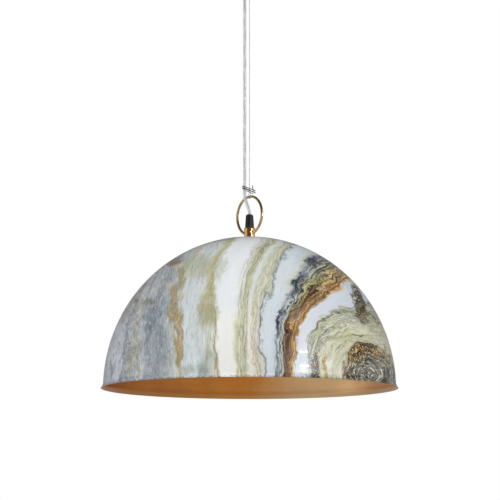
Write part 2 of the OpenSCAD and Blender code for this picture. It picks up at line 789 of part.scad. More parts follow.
// Round crests stand for the turns of the thread
function thread_line() =
    [for (i = [0 : 12 * thread_turns]) let (z = thread_top - i * thread_pitch / 12)
        [thread_r - thread_depth * (1 + cos(360 * i / 12)) / 2, z]];

module bulb_cap() {
    inside = neck_glass_r + 0.15;
    foot = cap_foot;
    color("silver") at_bulb() lathe(concat(
        [[inside, thread_top]], thread_line(),
        [[thread_r, foot + cap_skirt_l - 1], [thread_r, foot], [inside, foot]]));
}

module bulb_insulator() {
    r = neck_glass_r;
    color("dimgray") at_bulb() lathe([
        [0, -1.6], [5, -1.6], [r + 0.4, thread_top + slip], [r, thread_top + slip], [r, thread_top - 1],
        [0, thread_top - 1]]);
}

module bulb_contact() {
    color("silver") at_bulb() lathe([[0, 0], [3, -0.3], [4, -1.2], [4, -1.6], [0, -1.6]]);
}

module bulb_stem() {
    r = neck_glass_r - glass_t - slip;
    top = thread_top - 2.8;
    color("lightcyan", 0.3) at_bulb() lathe([
        [0, top], [r, top], [r, top - 1.2], [5, top - 9], [3.6, top - 20], [stem_rod_r, top - 28],
        [stem_rod_r, stem_foot], [stem_rod_r - 0.8, stem_foot - 0.8], [0, stem_foot - 0.8]]);
}

module rod_between(p, q, d) {
    span = q - p;
    translate(p) rotate([0, acos(span.z / norm(span)), atan2(span.y, span.x)])
        cylinder(d = d, h = norm(span));
}

module four_times() {
    for (turn = [0 : 90 : 270]) rotate([0, 0, turn]) children();
}

module bulb_supports() {
    top = [filament_top[0], 0, filament_top[1] + 0.45];
    foot = [filament_foot[0] + 0.6, 0, stem_foot + 0.6];
    color("silver") at_bulb() four_times() {
        rod_between([stem_rod_r + 0.25, 0, top.z + 4], top, support_d);
        rod_between([stem_rod_r + 0.05, 0, foot.z], foot, support_d);
    }
}

module bulb_filaments() {
    top = [filament_top[0], 0, filament_top[1]];
    foot = [filament_foot[0], 0, filament_foot[1] - 0.35];
    color("gold") at_bulb() four_times() rod_between(foot, top, filament_d);
}

ceiling_bracket();
canopy();
canopy_screws();
cord_outlet();
outlet_nut();
outlet_screw();
wire_anchor();
anchor_screw();
terminal_block();
terminal_sleeves();
terminal_block_screws();
wire_in_canopy();
flex_in_canopy();
canopy_live_core();
canopy_neutral_core();
suspension_wire();
wire_ferrule();
flex_tie();
flex_drop();
hanging_ring();
flex_bend();
collar();
cord_grip();
grip_screw();
flex_in_shade();
threaded_tube();
shade();
shade_lining();
crown_washer();
lock_washer();
crown_nut();
holder_cap();
holder_body();
contact_base();
centre_contact();
screw_shell();
holder_terminals();
holder_terminal_screws();
holder_live_core();
holder_neutral_core();
bulb_glass();
bulb_cap();
bulb_insulator();
bulb_contact();
bulb_stem();
bulb_supports();
bulb_filaments();
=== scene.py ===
"""Dome pendant light: the looks of each piece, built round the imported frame, in metres."""

import json
import math

import bmesh
import bpy
import numpy as np
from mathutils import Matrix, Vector


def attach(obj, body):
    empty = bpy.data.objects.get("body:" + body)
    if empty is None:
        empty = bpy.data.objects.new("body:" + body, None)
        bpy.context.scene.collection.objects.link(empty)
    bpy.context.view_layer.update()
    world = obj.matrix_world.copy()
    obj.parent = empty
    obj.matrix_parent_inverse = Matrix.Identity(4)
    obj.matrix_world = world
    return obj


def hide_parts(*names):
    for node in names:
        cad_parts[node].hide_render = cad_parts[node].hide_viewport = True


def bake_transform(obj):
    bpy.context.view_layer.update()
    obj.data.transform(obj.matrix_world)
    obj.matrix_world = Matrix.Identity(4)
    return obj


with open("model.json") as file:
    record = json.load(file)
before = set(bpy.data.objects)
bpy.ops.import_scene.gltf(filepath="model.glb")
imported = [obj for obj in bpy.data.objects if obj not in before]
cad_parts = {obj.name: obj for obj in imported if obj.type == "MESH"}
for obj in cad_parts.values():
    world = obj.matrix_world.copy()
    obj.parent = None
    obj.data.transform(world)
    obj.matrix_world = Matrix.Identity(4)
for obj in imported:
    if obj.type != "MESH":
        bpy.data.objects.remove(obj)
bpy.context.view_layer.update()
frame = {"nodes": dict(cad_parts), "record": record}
MM = 0.001

# Places that the shapes share, in millimetres: a name in _Z counts from the ceiling, one in _H from the crown
SWING_Z = -34.5
CROWN_Z = -418.0
SHADE_HEIGHT = 231.0
RIM_Z = CROWN_Z - SHADE_HEIGHT
DOME_R = 221.5
RIM_FLARE = 3.5
FLARE_HEIGHT = 8.0
SHADE_T = 1.2
CROWN_HOLE_R = 5.2
RING_TURN = math.radians(-50)
RING_R = 29.25
RING_WIRE_R = 2.0
ELBOW_U = 10.5
PIVOT_H = 7.4
RING_CENTRE_H = PIVOT_H + math.sqrt(RING_R ** 2 - ELBOW_U ** 2)
RING_TOP_H = RING_CENTRE_H + RING_R
FLEX_X = -7.6
FLEX_D = 5.2
HOLDER_Z = -425.44
BULB_Z = -459.54


def add_object(name, data):
    thing = bpy.data.objects.new(name, data)
    bpy.context.scene.collection.objects.link(thing)
    return thing


# ---- camera

CAMERA_PLACE = (0.0007, -3.0, -0.8732)
CAMERA_LENS, CAMERA_SENSOR, CAMERA_REACH = 142.68, 36, 60
CAMERA_LOOKS_UP = 8.279


def add_camera():
    data = bpy.data.cameras.new("camera")
    data.lens = CAMERA_LENS
    data.sensor_width = CAMERA_SENSOR
    data.clip_end = CAMERA_REACH
    camera = add_object("camera", data)
    camera.location = CAMERA_PLACE
    camera.rotation_euler = (math.radians(90 + CAMERA_LOOKS_UP), 0, 0)
    bpy.context.scene.camera = camera


add_camera()


# ---- shapes

def new_object(name, vertices, faces, maps=None):
    """A smooth mesh from arrays, in millimetres, with its UV maps; corners at the same place are merged."""
    mesh = bpy.data.meshes.new(name)
    mesh.from_pydata((vertices * MM).tolist(), [], faces.tolist())
    for key, corners in (maps or {}).items():
        layer = mesh.uv_layers.new(name=key)
        layer.data.foreach_set("uv", corners.astype(np.float32).ravel())
    form = bmesh.new()
    form.from_mesh(mesh)
    bmesh.ops.remove_doubles(form, verts=form.verts, dist=1e-7)
    bmesh.ops.recalc_face_normals(form, faces=form.faces)
    form.to_mesh(mesh)
    form.free()
    mesh.polygons.foreach_set("use_smooth", np.ones(len(mesh.polygons), bool))
    return add_object(name, mesh)


def surface(name, points, wrap_rows=False, maps=None):
    """A grid of points, rows by columns, joined by quads. The last column joins the first, and so do the rows
    where they wrap. A map has one more column than points, so that the seam isn't smeared."""
    rows, columns = points.shape[:2]
    i, j = np.meshgrid(np.arange(rows if wrap_rows else rows - 1), np.arange(columns), indexing="ij")
    below, right = (i + 1) % rows, (j + 1) % columns
    faces = np.stack([i * columns + j, i * columns + right,
                      below * columns + right, below * columns + j], -1).reshape(-1, 4)
    corners = {key: np.stack([uv[i, j], uv[i, j + 1], uv[i + 1, j + 1], uv[i + 1, j]], -2)
               for key, uv in (maps or {}).items()}
    return new_object(name, points.reshape(-1, 3), faces, corners)


def angles_round(count):
    """Angles evenly round a circle."""
    return np.linspace(0, 2 * math.pi, count, endpoint=False)


def arc(angles, radius, height=0.0):
    """Points (distance, height) on a circle whose middle is on the axis."""
    return np.stack([radius * np.cos(angles), height + radius * np.sin(angles)], -1)


def turned(profile, turns):
    """Points of a profile (radius, height) carried round the Z axis."""
    angle = angles_round(turns)
    r, z = profile[:, 0, None], profile[:, 1, None]
    return np.stack([r * np.cos(angle), r * np.sin(angle), z + 0 * angle], -1)


def sides_of(path, reference):
    """Two unit vectors square to a path at each point. The tangent comes from the points on both sides; the
    first vector is square to it and to a fixed direction, and the second to both."""
    along = np.gradient(path, axis=0)
    along /= np.linalg.norm(along, axis=1, keepdims=True)
    side = np.cross(along, np.array(reference, float))
    side /= np.linalg.norm(side, axis=1, keepdims=True)
    return side, np.cross(side, along)


def run_of(path):
    """The length of a path up to each of its points."""
    return np.concatenate([[0], np.cumsum(np.linalg.norm(np.diff(path, axis=0), axis=1))])


def tube_points(path, radius, reference, sides, turn=0.0):
    """Circles square to a path, each turned by an angle, of one radius or of a radius for each column.
    Rows of no radius close the ends."""
    side, other = sides_of(path, reference)
    angle = angles_round(sides)[None, :] + np.reshape(turn, (-1, 1))
    ring = (path[:, None] + (radius * np.cos(angle))[..., None] * side[:, None]
            + (radius * np.sin(angle))[..., None] * other[:, None])
    first = np.repeat(path[:1, None], sides, 1)
    last = np.repeat(path[-1:, None], sides, 1)
    return np.concatenate([first, ring, last])


def tube(name, path, radius, reference, sides):
    """A round bar along a path, closed at both ends."""
    return surface(name, tube_points(path, radius, reference, sides))


def smooth_path(points, step):
    """A curve through the points, each stretch a cubic whose end slopes come from its neighbours,
    then cut into equal steps."""
    p = np.array(points, float)
    before = np.concatenate([2 * p[:1] - p[1:2], p[:-2]])
    start, end = p[:-1], p[1:]
    after = np.concatenate([p[2:], 2 * p[-1:] - p[-2:-1]])
    t = np.linspace(0, 1, 24, endpoint=False)[None, :, None]
    s, e, b, a = start[:, None], end[:, None], before[:, None], after[:, None]
    curve = (s + t * (e - b) / 2 + t ** 2 * (b - 2.5 * s + 2 * e - a / 2)
             + t ** 3 * (-b / 2 + 1.5 * s - 1.5 * e + a / 2)).reshape(-1, 3)
    return even_path(np.concatenate([curve, p[-1:]]), step)


def even_path(points, step):
    """The same line cut into equal steps."""
    p = np.array(points, float)
    run = run_of(p)
    s = np.linspace(0, run[-1], max(2, int(round(run[-1] / step)) + 1))
    return np.stack([np.interp(s, run, p[:, k]) for k in range(3)], -1)


# ---- materials

def tint(r, g, b):
    """A screen colour, 0 to 255, as the shader's linear colour."""
    c = np.array([r, g, b]) / 255
    c = np.where(c <= 0.04045, c / 12.92, ((c + 0.055) / 1.055) ** 2.4)
    return (*c.tolist(), 1.0)


def arithmetic(operation):
    """A method that adds one Math node."""
    def method(self, other):
        return self.math(operation, self, other)
    return method


class Value:
    """A socket whose arithmetic adds Math nodes."""

    def __init__(self, finish, socket):
        self.finish, self.socket = finish, socket

    def math(self, operation, *values, clamp=False):
        return self.finish.node("ShaderNodeMath", {"operation": operation, "use_clamp": clamp},
                                dict(enumerate(values)))

    __add__ = __radd__ = arithmetic("ADD")
    __sub__ = arithmetic("SUBTRACT")
    __mul__ = __rmul__ = arithmetic("MULTIPLY")
    __truediv__ = arithmetic("DIVIDE")
    least, most = arithmetic("MINIMUM"), arithmetic("MAXIMUM")

    def __rsub__(self, other):
        return self.math("SUBTRACT", other, self)

    def clamped(self):
        return self.math("ADD", self, 0.0, clamp=True)

    def size(self):
        return self.math("ABSOLUTE", self)

    def step(self, start, end):
        """0 before start and 1 after end, smooth between; start may be the greater."""
        if start > end:
            return 1 - self.step(end, start)
        return self.finish.node("ShaderNodeMapRange", {"interpolation_type": "SMOOTHSTEP"},
                                {0: self, 1: start, 2: end, 3: 0.0, 4: 1.0})

    def near(self, centre, width):
        """1 at a value, down to 0 at a distance from it."""
        return (self - centre).size().step(width, 0.0)


class Nodes:
    """A node tree, and what adds nodes to it."""

    def __init__(self, tree):
        self.tree = tree

    def node(self, kind, settings=None, values=None, output=0):
        node = self.tree.nodes.new(kind)
        for key, value in (settings or {}).items():
            setattr(node, key, value)
        for key, value in (values or {}).items():
            self.feed(node.inputs[key], value)
        return Value(self, node.outputs[output])

    def feed(self, socket, value):
        if isinstance(value, Value):
            self.tree.links.new(value.socket, socket)
        else:
            socket.default_value = value

    def parts(self, vector):
        node = self.tree.nodes.new("ShaderNodeSeparateXYZ")
        self.tree.links.new(vector.socket, node.inputs[0])
        return [Value(self, out) for out in node.outputs]


FINISHES = {}


class Finish(Nodes):
    """One material, kept by its name. Its place is where a point lies in the object, in metres."""

    def __init__(self, name, **constants):
        self.material = FINISHES[name] = bpy.data.materials.new(name)
        self.material.use_nodes = True
        super().__init__(self.material.node_tree)
        self.colour = None
        self.shader = self.tree.nodes["Principled BSDF"]
        self.set(**constants)
        self.place = self.node("ShaderNodeTexCoord", output="Object")

    def uv(self, name):
        return self.node("ShaderNodeUVMap", {"uv_map": name})

    def noise(self, scale, detail=3.0, roughness=0.55, distortion=0.0, where=None):
        """Smooth noise, about -0.5 to 0.5, over the object or over another place."""
        return self.node("ShaderNodeTexNoise", None, {
            "Vector": where or self.place, "Scale": scale, "Detail": detail, "Roughness": roughness,
            "Distortion": distortion}) - 0.5

    def drawn(self, places, *texture):
        """Noise over three values."""
        where = self.node("ShaderNodeCombineXYZ", None, dict(enumerate(places)))
        return self.noise(1.0, *texture, where=where)

    def stretched(self, scales, *texture):
        """Noise over the object, with a scale for each axis."""
        where = self.node("ShaderNodeVectorMath", {"operation": "MULTIPLY"}, {0: self.place, 1: scales})
        return self.noise(1.0, *texture, where=where)

    def mix(self, factor, a, b, blend="MIX"):
        return self.node("ShaderNodeMix", {"data_type": "RGBA", "blend_type": blend},
                         {0: factor, 6: a, 7: b}, output=2)

    def between(self, factor, low, high):
        """A colour between two screen colours."""
        return self.mix(factor.clamped(), tint(*low), tint(*high))

    def ramp(self, factor, colours):
        ramp = self.node("ShaderNodeValToRGB", None, {0: factor})
        stops = ramp.socket.node.color_ramp.elements
        while len(stops) < len(colours):
            stops.new(1.0)
        for stop, (place, colour) in zip(stops, colours):
            stop.position = place
            stop.color = colour
        return ramp

    def lay(self, share, *shade):
        """The colour so far, covered in part by a screen colour."""
        self.colour = self.mix(share, self.colour, tint(*shade))

    def threads(self, mask, field, gain, bias, share, *shade):
        """A screen colour laid in a mask, where a field, scaled and shifted, rises above zero."""
        self.lay(mask * (field * gain + bias).clamped() * share, *shade)

    def set(self, **inputs):
        for key, value in inputs.items():
            self.feed(self.shader.inputs[key.replace("_", " ")], value)

    def bump(self, height, distance, strength=1.0):
        """Height from 0 to 1 stands for a distance in metres."""
        self.set(Normal=self.node("ShaderNodeBump", None, {
            "Height": height, "Distance": distance, "Strength": strength}))


# ---- marbled lacquer

# Guide lines between the veins: their distances from the heart, in millimetres, at these angles round it
HEART = (177.0, 10.0)
GUIDE_ANGLES = (0, 15, 30, 45, 60, 80, 110)
GUIDE_RADII = (
    (46, 38, 42, 45, 44, 42, 40), (81, 86, 90, 90, 86, 84, 105), (94, 98, 104, 104, 101, 103, 130),
    (113, 110, 124, 124, 126, 150, 185), (129, 128, 143, 146, 149, 176, 212),
    (142, 140, 150, 162, 189, 212, 245), (161, 167, 182, 203, 230, 250, 280),
    (168, 179, 195, 222, 242, 265, 300), (180, 183, 205, 231, 255, 280, 320),
    (195, 198, 221, 252, 275, 300, 340), (219, 229, 265, 288, 305, 330, 365),
    (244, 253, 274, 300, 318, 342, 380), (273, 292, 311, 322, 335, 355, 395),
    (302, 308, 328, 340, 350, 370, 410), (333, 342, 350, 358, 366, 385, 425),
    (340, 352, 358, 368, 378, 400, 440), (399, 405, 410, 415, 420, 440, 470))
VEINS = len(GUIDE_RADII)
ALONG_SPAN = 400
PACE_SCALE = 10


def vein_place(x, z):
    """Where a point of the dome lies among the veins, which run in rings round the agate's heart: how many
    guide lines lie inside it, with the share of the way to the next, its distance along the vein in
    millimetres, and how many guide lines there are to a millimetre here."""
    dx, dz = HEART[0] - x, z - HEART[1]
    r = np.hypot(dx, dz)
    a = np.degrees(np.arctan2(dz, dx))
    a = np.where(a < -90, a + 360, a)
    bend = np.clip(a, -5, 115)
    curves = [sum(share * np.interp(bend + turn, GUIDE_ANGLES, radii)
                  for turn, share in ((-8, 0.2), (-3, 0.3), (3, 0.3), (8, 0.2))) for radii in GUIDE_RADII]
    lines = np.maximum.accumulate(np.stack([0 * r] + curves), 0)
    gaps = np.maximum(np.diff(lines, axis=0), 4.0)
    u = np.clip((r[None] - lines[:-1]) / gaps, 0, 1).sum(0)
    middles = (np.arange(VEINS) + 0.5).reshape(-1, *([1] * np.ndim(u)))
    share = np.maximum(0, 1 - np.abs(np.clip(u, 0.5, VEINS - 0.5)[None] - middles))
    return u, r * np.radians(a), (share / gaps).sum(0)


def marbling(x, y, z):
    """The vein places over the whole dome: the front as seen, and the back from stretched and wavy
    coordinates, with a smooth change between them over the sides."""
    front = vein_place(x, z)
    wave = 14 * np.sin(x / 41 + 0.6) + 9 * np.sin(z / 27 + x / 60)
    back = vein_place(0.88 * x - 26 + wave, 1.1 * z - 20 + 0.6 * wave)
    t = np.clip((y + 10) / 190, 0, 1)
    t = t * t * (3 - 2 * t)
    u, v, pace = (f * (1 - t) + b * t for f, b in zip(front, back))
    return np.stack([u / VEINS, v / ALONG_SPAN], -1), np.stack([pace * PACE_SCALE, t], -1)


def banded(m, u, stops, most=30):
    """A ramp over the vein places, of any number of stops: runs of them, each shown in its own stretch."""
    colour = None
    for first in range(0, len(stops) - 1, most - 1):
        run = stops[first:first + most]
        low, high = run[0][0], run[-1][0]
        part = m.ramp((u - low) / (high - low), [
            ((p - low) / (high - low), tint(*c) if len(c) == 3 else (*c, *c, *c, 1)) for p, *c in run])
        colour = part if colour is None else m.mix(u.step(low - 0.001, low + 0.001), colour, part)
    return colour


# Vein colours low and high on the dome, and how busy with threads the veins are, by vein place
VEINS_LOW = (
    (0.0, 104, 100, 76), (0.5, 122, 118, 90), (0.82, 96, 88, 60), (0.95, 128, 96, 52),
    (1.06, 196, 176, 128), (1.15, 218, 216, 186), (1.38, 208, 207, 178), (1.5, 206, 206, 176),
    (1.7, 208, 206, 178), (1.84, 186, 186, 160), (1.96, 158, 158, 138), (2.05, 198, 199, 178),
    (2.3, 174, 176, 156), (2.6, 206, 208, 190), (2.84, 160, 164, 150), (3.0, 188, 192, 186),
    (3.12, 222, 226, 236), (3.84, 226, 230, 238), (3.98, 214, 190, 150), (4.06, 206, 156, 88),
    (4.16, 176, 116, 50), (4.28, 214, 166, 92), (4.38, 126, 80, 32), (4.48, 190, 132, 58),
    (4.6, 84, 54, 24), (4.7, 150, 104, 50), (4.8, 48, 32, 16), (4.97, 58, 42, 26), (5.08, 130, 120, 98),
    (5.2, 206, 209, 204), (5.34, 196, 200, 198), (5.46, 96, 104, 122), (5.6, 132, 140, 154),
    (5.7, 186, 194, 204), (5.84, 98, 106, 124), (5.98, 150, 160, 172), (6.12, 204, 214, 222),
    (6.5, 212, 222, 228), (6.86, 214, 222, 226), (7.0, 122, 128, 132), (7.12, 214, 214, 202),
    (7.4, 222, 220, 204), (7.6, 206, 202, 178), (7.88, 230, 228, 214), (8.02, 212, 170, 118),
    (8.12, 230, 228, 216), (8.85, 230, 230, 218), (9.05, 210, 209, 182), (9.35, 194, 194, 160),
    (9.55, 220, 219, 194), (9.78, 198, 197, 162), (9.92, 220, 219, 198), (10.08, 238, 239, 233),
    (10.86, 238, 238, 232), (10.98, 166, 146, 100), (11.12, 214, 216, 204), (11.9, 210, 218, 216),
    (12.85, 204, 212, 217), (13.04, 184, 170, 126), (13.2, 188, 194, 188), (13.7, 176, 184, 184),
    (14.0, 144, 151, 160), (14.4, 162, 169, 176), (14.7, 142, 149, 158), (15.1, 176, 182, 188),
    (15.4, 186, 190, 186), (15.7, 156, 152, 128), (15.9, 196, 200, 202), (16.2, 146, 152, 166),
    (16.5, 186, 190, 200), (17.0, 176, 180, 192))
VEINS_HIGH = (
    (0.0, 104, 100, 76), (0.5, 122, 118, 90), (0.8, 84, 74, 48), (0.95, 146, 108, 58), (1.06, 120, 104, 60),
    (1.2, 190, 190, 140), (1.4, 196, 200, 176), (1.6, 224, 228, 222), (1.8, 206, 206, 166),
    (1.92, 224, 220, 196), (2.0, 178, 174, 136), (2.12, 206, 206, 180), (2.3, 160, 162, 138),
    (2.5, 200, 202, 176), (2.68, 152, 156, 138), (2.82, 196, 198, 184), (3.0, 152, 158, 152),
    (3.12, 220, 226, 236), (3.84, 224, 230, 240), (3.98, 222, 206, 172), (4.08, 196, 138, 60),
    (4.2, 140, 88, 36), (4.3, 206, 172, 110), (4.44, 190, 150, 84), (4.52, 100, 62, 26),
    (4.62, 206, 178, 118), (4.74, 150, 108, 56), (4.84, 78, 56, 30), (4.94, 186, 172, 118),
    (5.14, 140, 142, 88), (5.3, 178, 180, 132), (5.42, 120, 118, 80), (5.6, 150, 156, 150),
    (5.7, 88, 96, 112), (5.8, 156, 166, 176), (5.9, 92, 100, 120), (6.04, 146, 156, 168),
    (6.12, 196, 200, 184), (6.25, 206, 213, 212), (6.6, 212, 222, 228), (6.84, 214, 222, 226),
    (7.0, 128, 136, 138), (7.1, 200, 202, 184), (7.35, 200, 198, 166), (7.55, 216, 218, 204),
    (7.75, 194, 194, 158), (8.0, 206, 206, 178), (8.2, 214, 222, 220), (8.8, 216, 222, 216),
    (9.0, 204, 204, 176), (9.35, 186, 187, 150), (9.6, 212, 213, 192), (10.1, 230, 234, 238),
    (10.9, 226, 230, 234), (11.05, 194, 194, 150), (11.3, 180, 178, 138), (11.7, 194, 193, 164),
    (12.2, 206, 212, 212), (12.9, 200, 208, 212), (13.06, 190, 188, 164), (13.3, 184, 192, 190),
    (13.9, 166, 173, 178), (14.3, 148, 154, 162), (14.8, 174, 178, 184), (15.4, 150, 154, 158),
    (15.9, 184, 187, 194), (16.4, 152, 150, 142), (17.0, 182, 185, 194))
BUSY = (
    (0.0, 0.8), (1.1, 0.7), (1.3, 0.35), (1.9, 0.8), (3.0, 0.9), (3.15, 0.06), (3.9, 0.1), (4.05, 1.0),
    (5.2, 1.0), (5.9, 0.7), (6.2, 0.08), (6.85, 0.12), (7.0, 0.75), (8.1, 0.7), (8.3, 0.2), (8.9, 0.3),
    (9.1, 0.9), (9.9, 0.8), (10.1, 0.04), (10.85, 0.06), (11.0, 0.6), (12.0, 0.75), (13.0, 0.75),
    (14.0, 0.8), (15.0, 0.7), (16.0, 0.8), (17.0, 0.7))


# Clots of one colour: middle across and up, half widths across and up, in millimetres, share and colour
CLOTS = (
    (-60, 96, 15, 24, 0.95, 164, 158, 118), (-74, 170, 22, 20, 0.7, 164, 164, 124),
    (-44, 172, 10, 30, 0.6, 178, 176, 136), (-142, 94, 14, 22, 0.75, 110, 118, 130),
    (-124, 44, 12, 30, 0.65, 136, 144, 154), (-112, 184, 14, 7, 0.95, 116, 94, 66),
    (-104, 174, 9, 5, 0.7, 206, 178, 146), (-50, 221, 30, 4, 0.6, 116, 120, 106),
    (-66, 8, 10, 12, 0.7, 120, 136, 124), (-146, 118, 10, 6, 0.8, 108, 108, 78),
    (-170, 50, 8, 42, 0.7, 148, 148, 124), (-176, 20, 4, 20, 0.6, 120, 120, 96),
    (-196, 40, 9, 40, 0.5, 186, 190, 196), (-60, 20, 12, 22, 0.6, 150, 164, 158),
    (100, 174, 17, 17, 0.88, 68, 72, 88), (118, 166, 12, 13, 0.7, 104, 92, 48),
    (123, 139, 9, 7, 0.75, 172, 104, 34), (-118, 140, 8, 9, 0.5, 200, 180, 158),
    (-184, 44, 3, 34, 0.6, 118, 124, 112), (-160, 30, 3, 30, 0.6, 128, 130, 110),
    (-202, 18, 3, 18, 0.7, 96, 104, 104), (-188, 10, 3, 10, 0.7, 92, 100, 96),
    (-136, 8, 7, 10, 0.6, 104, 112, 122), (-150, 72, 3, 20, 0.5, 112, 120, 120),
    (-128, 128, 4, 14, 0.5, 120, 124, 118), (-60, 130, 4, 40, 0.5, 176, 170, 124),
    (-58, 34, 3, 26, 0.5, 158, 150, 108), (-88, 12, 6, 7, 0.5, 150, 148, 116),
    (80, 20, 10, 30, 0.75, 194, 208, 216))
# Gold flakes: middle across and up, half widths across and up
GOLDS = ((-100, 153, 4, 14), (-108, 122, 5, 14), (-111, 95, 6, 11), (-101, 79, 4, 12), (-99, 48, 4, 22))
# Short veins near the rim: place across, width, top, colour
SHORT_VEINS = ((89.5, 3.6, 32, 44, 48, 28), (94.5, 4.6, 38, 112, 54, 24), (93.5, 2.6, 36, 34, 22, 12),
               (107, 4.6, 36, 192, 146, 66))


def marble_finish():
    """Veins in rings round an agate's heart. Across the veins, u0, u1 and u count guide lines, bent more and
    more by noise; along runs with them, pace is the guide lines to a millimetre, and back is 1 behind. Here
    x and h are the place across and above the rim, in millimetres."""
    m = Finish("marble_lacquer", IOR=1.45, Coat_Weight=0.5, Coat_Roughness=0.03)
    x, _, z = m.parts(m.place)
    x, h = x * 1000, (z - RIM_Z * MM) * 1000
    across, along, _ = m.parts(m.uv("veins"))
    pace, back, _ = m.parts(m.uv("pace"))
    pace = pace * (1 / PACE_SCALE)
    front = back.step(0.25, 0.05)
    u0 = across * VEINS
    grain = m.drawn((u0 * 2.6, along * 9, back * 3), 4, 0.55, 0.3)
    kink = m.noise(24, 2, 0.5)
    lean = (m.noise(13, 1) * 16 + kink * 16) * pace
    u1 = u0 + lean
    zigzag = m.drawn((along * 34, u0 * 0.7, back * 3), 3, 0.7)
    zigzag = zigzag * h.step(30, 100) * u0.step(7.4, 6.6)
    u = u1 + (m.noise(56, 2, 0.5) * 13 + grain * 10 + zigzag * 16) * pace
    comb = m.drawn((u1 * 5.5, along * 7, back * 4), 5, 0.6, 0.25)
    hair = m.drawn(((u1 + u) * 9.5, along * 12, back * 5), 5, 0.68, 0.15)
    u = u + comb * 0.26 + hair * 0.05

    rise = (h + m.noise(30, 3) * 50).step(70, 130)
    m.colour = m.mix(rise, banded(m, u, VEINS_LOW), banded(m, u, VEINS_HIGH))
    busy = banded(m, u0, BUSY)

    # clouds drawn out along the veins
    cloud = m.drawn((u0 * 1.5, along * 12, back * 9), 5, 0.62, 0.7)
    m.lay((cloud * 2.6).clamped() * 0.45, 244, 246, 247)
    m.lay((cloud * -2.6).clamped() * busy * 0.42, 122, 130, 142)
    olive = m.drawn((u0 * 2.2 + 7, along * 9, back * 5), 4, 0.6, 0.5)
    m.lay((olive * 3.2 - 0.18).clamped() * busy * 0.5, 166, 160, 112)

    # clots of one colour on the front
    torn = m.noise(42, 5, 0.62)
    streaky = (0.85 + hair * 3 + comb * 1.2).clamped()
    for cx, cz, rx, rz, share, *shade in CLOTS:
        dx, dz = (x - cx + torn * 38) / rx, (h - cz + torn * 18) / rz
        clot = (dx * dx + dz * dz + comb * 2.5).step(1.9, 0.1) * streaky
        m.lay(clot * front * share, *shade)

    # fine layers in the dark, the slate and the innermost veins, and a haze in the white one
    layers = m.drawn((u * 5.5, along * 7, back * 4), 5, 0.7, 0.1)
    white_vein = u.step(3.1, 3.3) * u.step(3.9, 3.7)
    m.lay(white_vein * (cloud * 3 + comb * 2 + 0.3).clamped() * 0.5, 194, 207, 208)
    dark_vein = u.step(3.93, 4.06) * u.step(5.25, 5.08)
    low_half = u.step(4.3, 4.6) * u.step(5.2, 5.0) * h.step(84, 58)
    m.lay(low_half * 0.35, 70, 46, 22)
    m.threads(dark_vein, layers, 24, -0.8, 0.85 - low_half * 0.4, 228, 194, 122)
    m.threads(dark_vein, layers, -20, -0.5, 0.92, 44, 28, 12)
    m.lay(dark_vein * h.step(150, 110) * 0.24, 122, 68, 20)
    high_vein = u.step(4.9, 5.2) * u.step(6.1, 5.9) * h.step(50, 90)
    m.threads(high_vein, layers, 12, -0.5, 0.65, 206, 206, 160)
    m.threads(high_vein, layers, -16, -0.3, 0.9, 48, 48, 36)
    slate_vein = u.step(5.3, 5.45) * u.step(6.15, 6.0)
    m.threads(slate_vein, layers, -24, -0.4, 0.9, 46, 52, 58)
    m.threads(slate_vein, layers, 24, -0.6, 0.8 - h.step(120, 150) * 0.5, 214, 220, 214)
    outer = u.step(1.15, 1.4) * u.step(3.1, 2.98)
    edge_layers = u.step(1.7, 2.0)
    m.threads(outer, olive, 5, 0.1, 0.45, 206, 208, 142)
    m.lay(outer * (layers * -16 - 1.1 + edge_layers * 0.8).clamped() * 0.85, 88, 92, 72)
    m.threads(outer, layers, 12, -0.4, 0.7, 240, 241, 218)

    # gold along one vein, slit into short flakes with olive edges
    shred = m.drawn((x * 0.16, h * 0.05, 2.0), 6, 0.72)
    lumps = None
    for cx, cz, rx, rz in GOLDS:
        dx, dz = (x - cx + shred * 26 + torn * 9) / rx, (h - cz + torn * 16) / rz
        lump = dx * dx + dz * dz + hair * 3
        lumps = lump if lumps is None else lumps.least(lump)
    lumps = lumps + back * 12
    flake = m.drawn((x * 0.5, h * 0.13, 5.0), 4, 0.7)
    m.lay(lumps.near(1.4, 1.4) * 0.65, 136, 132, 100)
    m.threads(lumps.step(1.5, 0.7), flake, 6, 0.7, 0.85, 170, 134, 48)
    m.threads(lumps.step(1.4, 0.6), flake, -10, -0.4, 0.85, 84, 74, 34)
    m.threads(lumps.step(1.3, 0.6), flake, 11, -1.5, 0.7, 222, 202, 128)
    drift = m.drawn((u0, along * 16, 3.0), 3)
    m.lay(u.near(13.0, 0.2) * (drift * 5).clamped() * h.step(180, 140) * 0.6, 200, 166, 96)

    # short dark and pale brush marks on the left
    left = x.step(-90, -125) * front
    marks = m.drawn((x * 0.42, h * 0.11, 9.0), 3, 0.7)
    m.threads(left, marks, -13, -0.9, 0.6, 92, 102, 102)
    m.threads(left, marks, 13, -1.0, 0.55, 222, 226, 228)

    # short dark and rusty veins near the rim, on the right
    crumbs = m.noise(130, 4, 0.7)
    speckle = m.noise(330, 1, 0.6)
    for line, wide, top, *shade in SHORT_VEINS:
        vein = (x - line + torn * 11 + comb * 5).near(0.0, wide) * (h + torn * 26).step(top + 4, top - 8)
        m.lay((vein * front * (1.6 + speckle * 11 + crumbs * 5)).clamped() * 0.96, *shade)

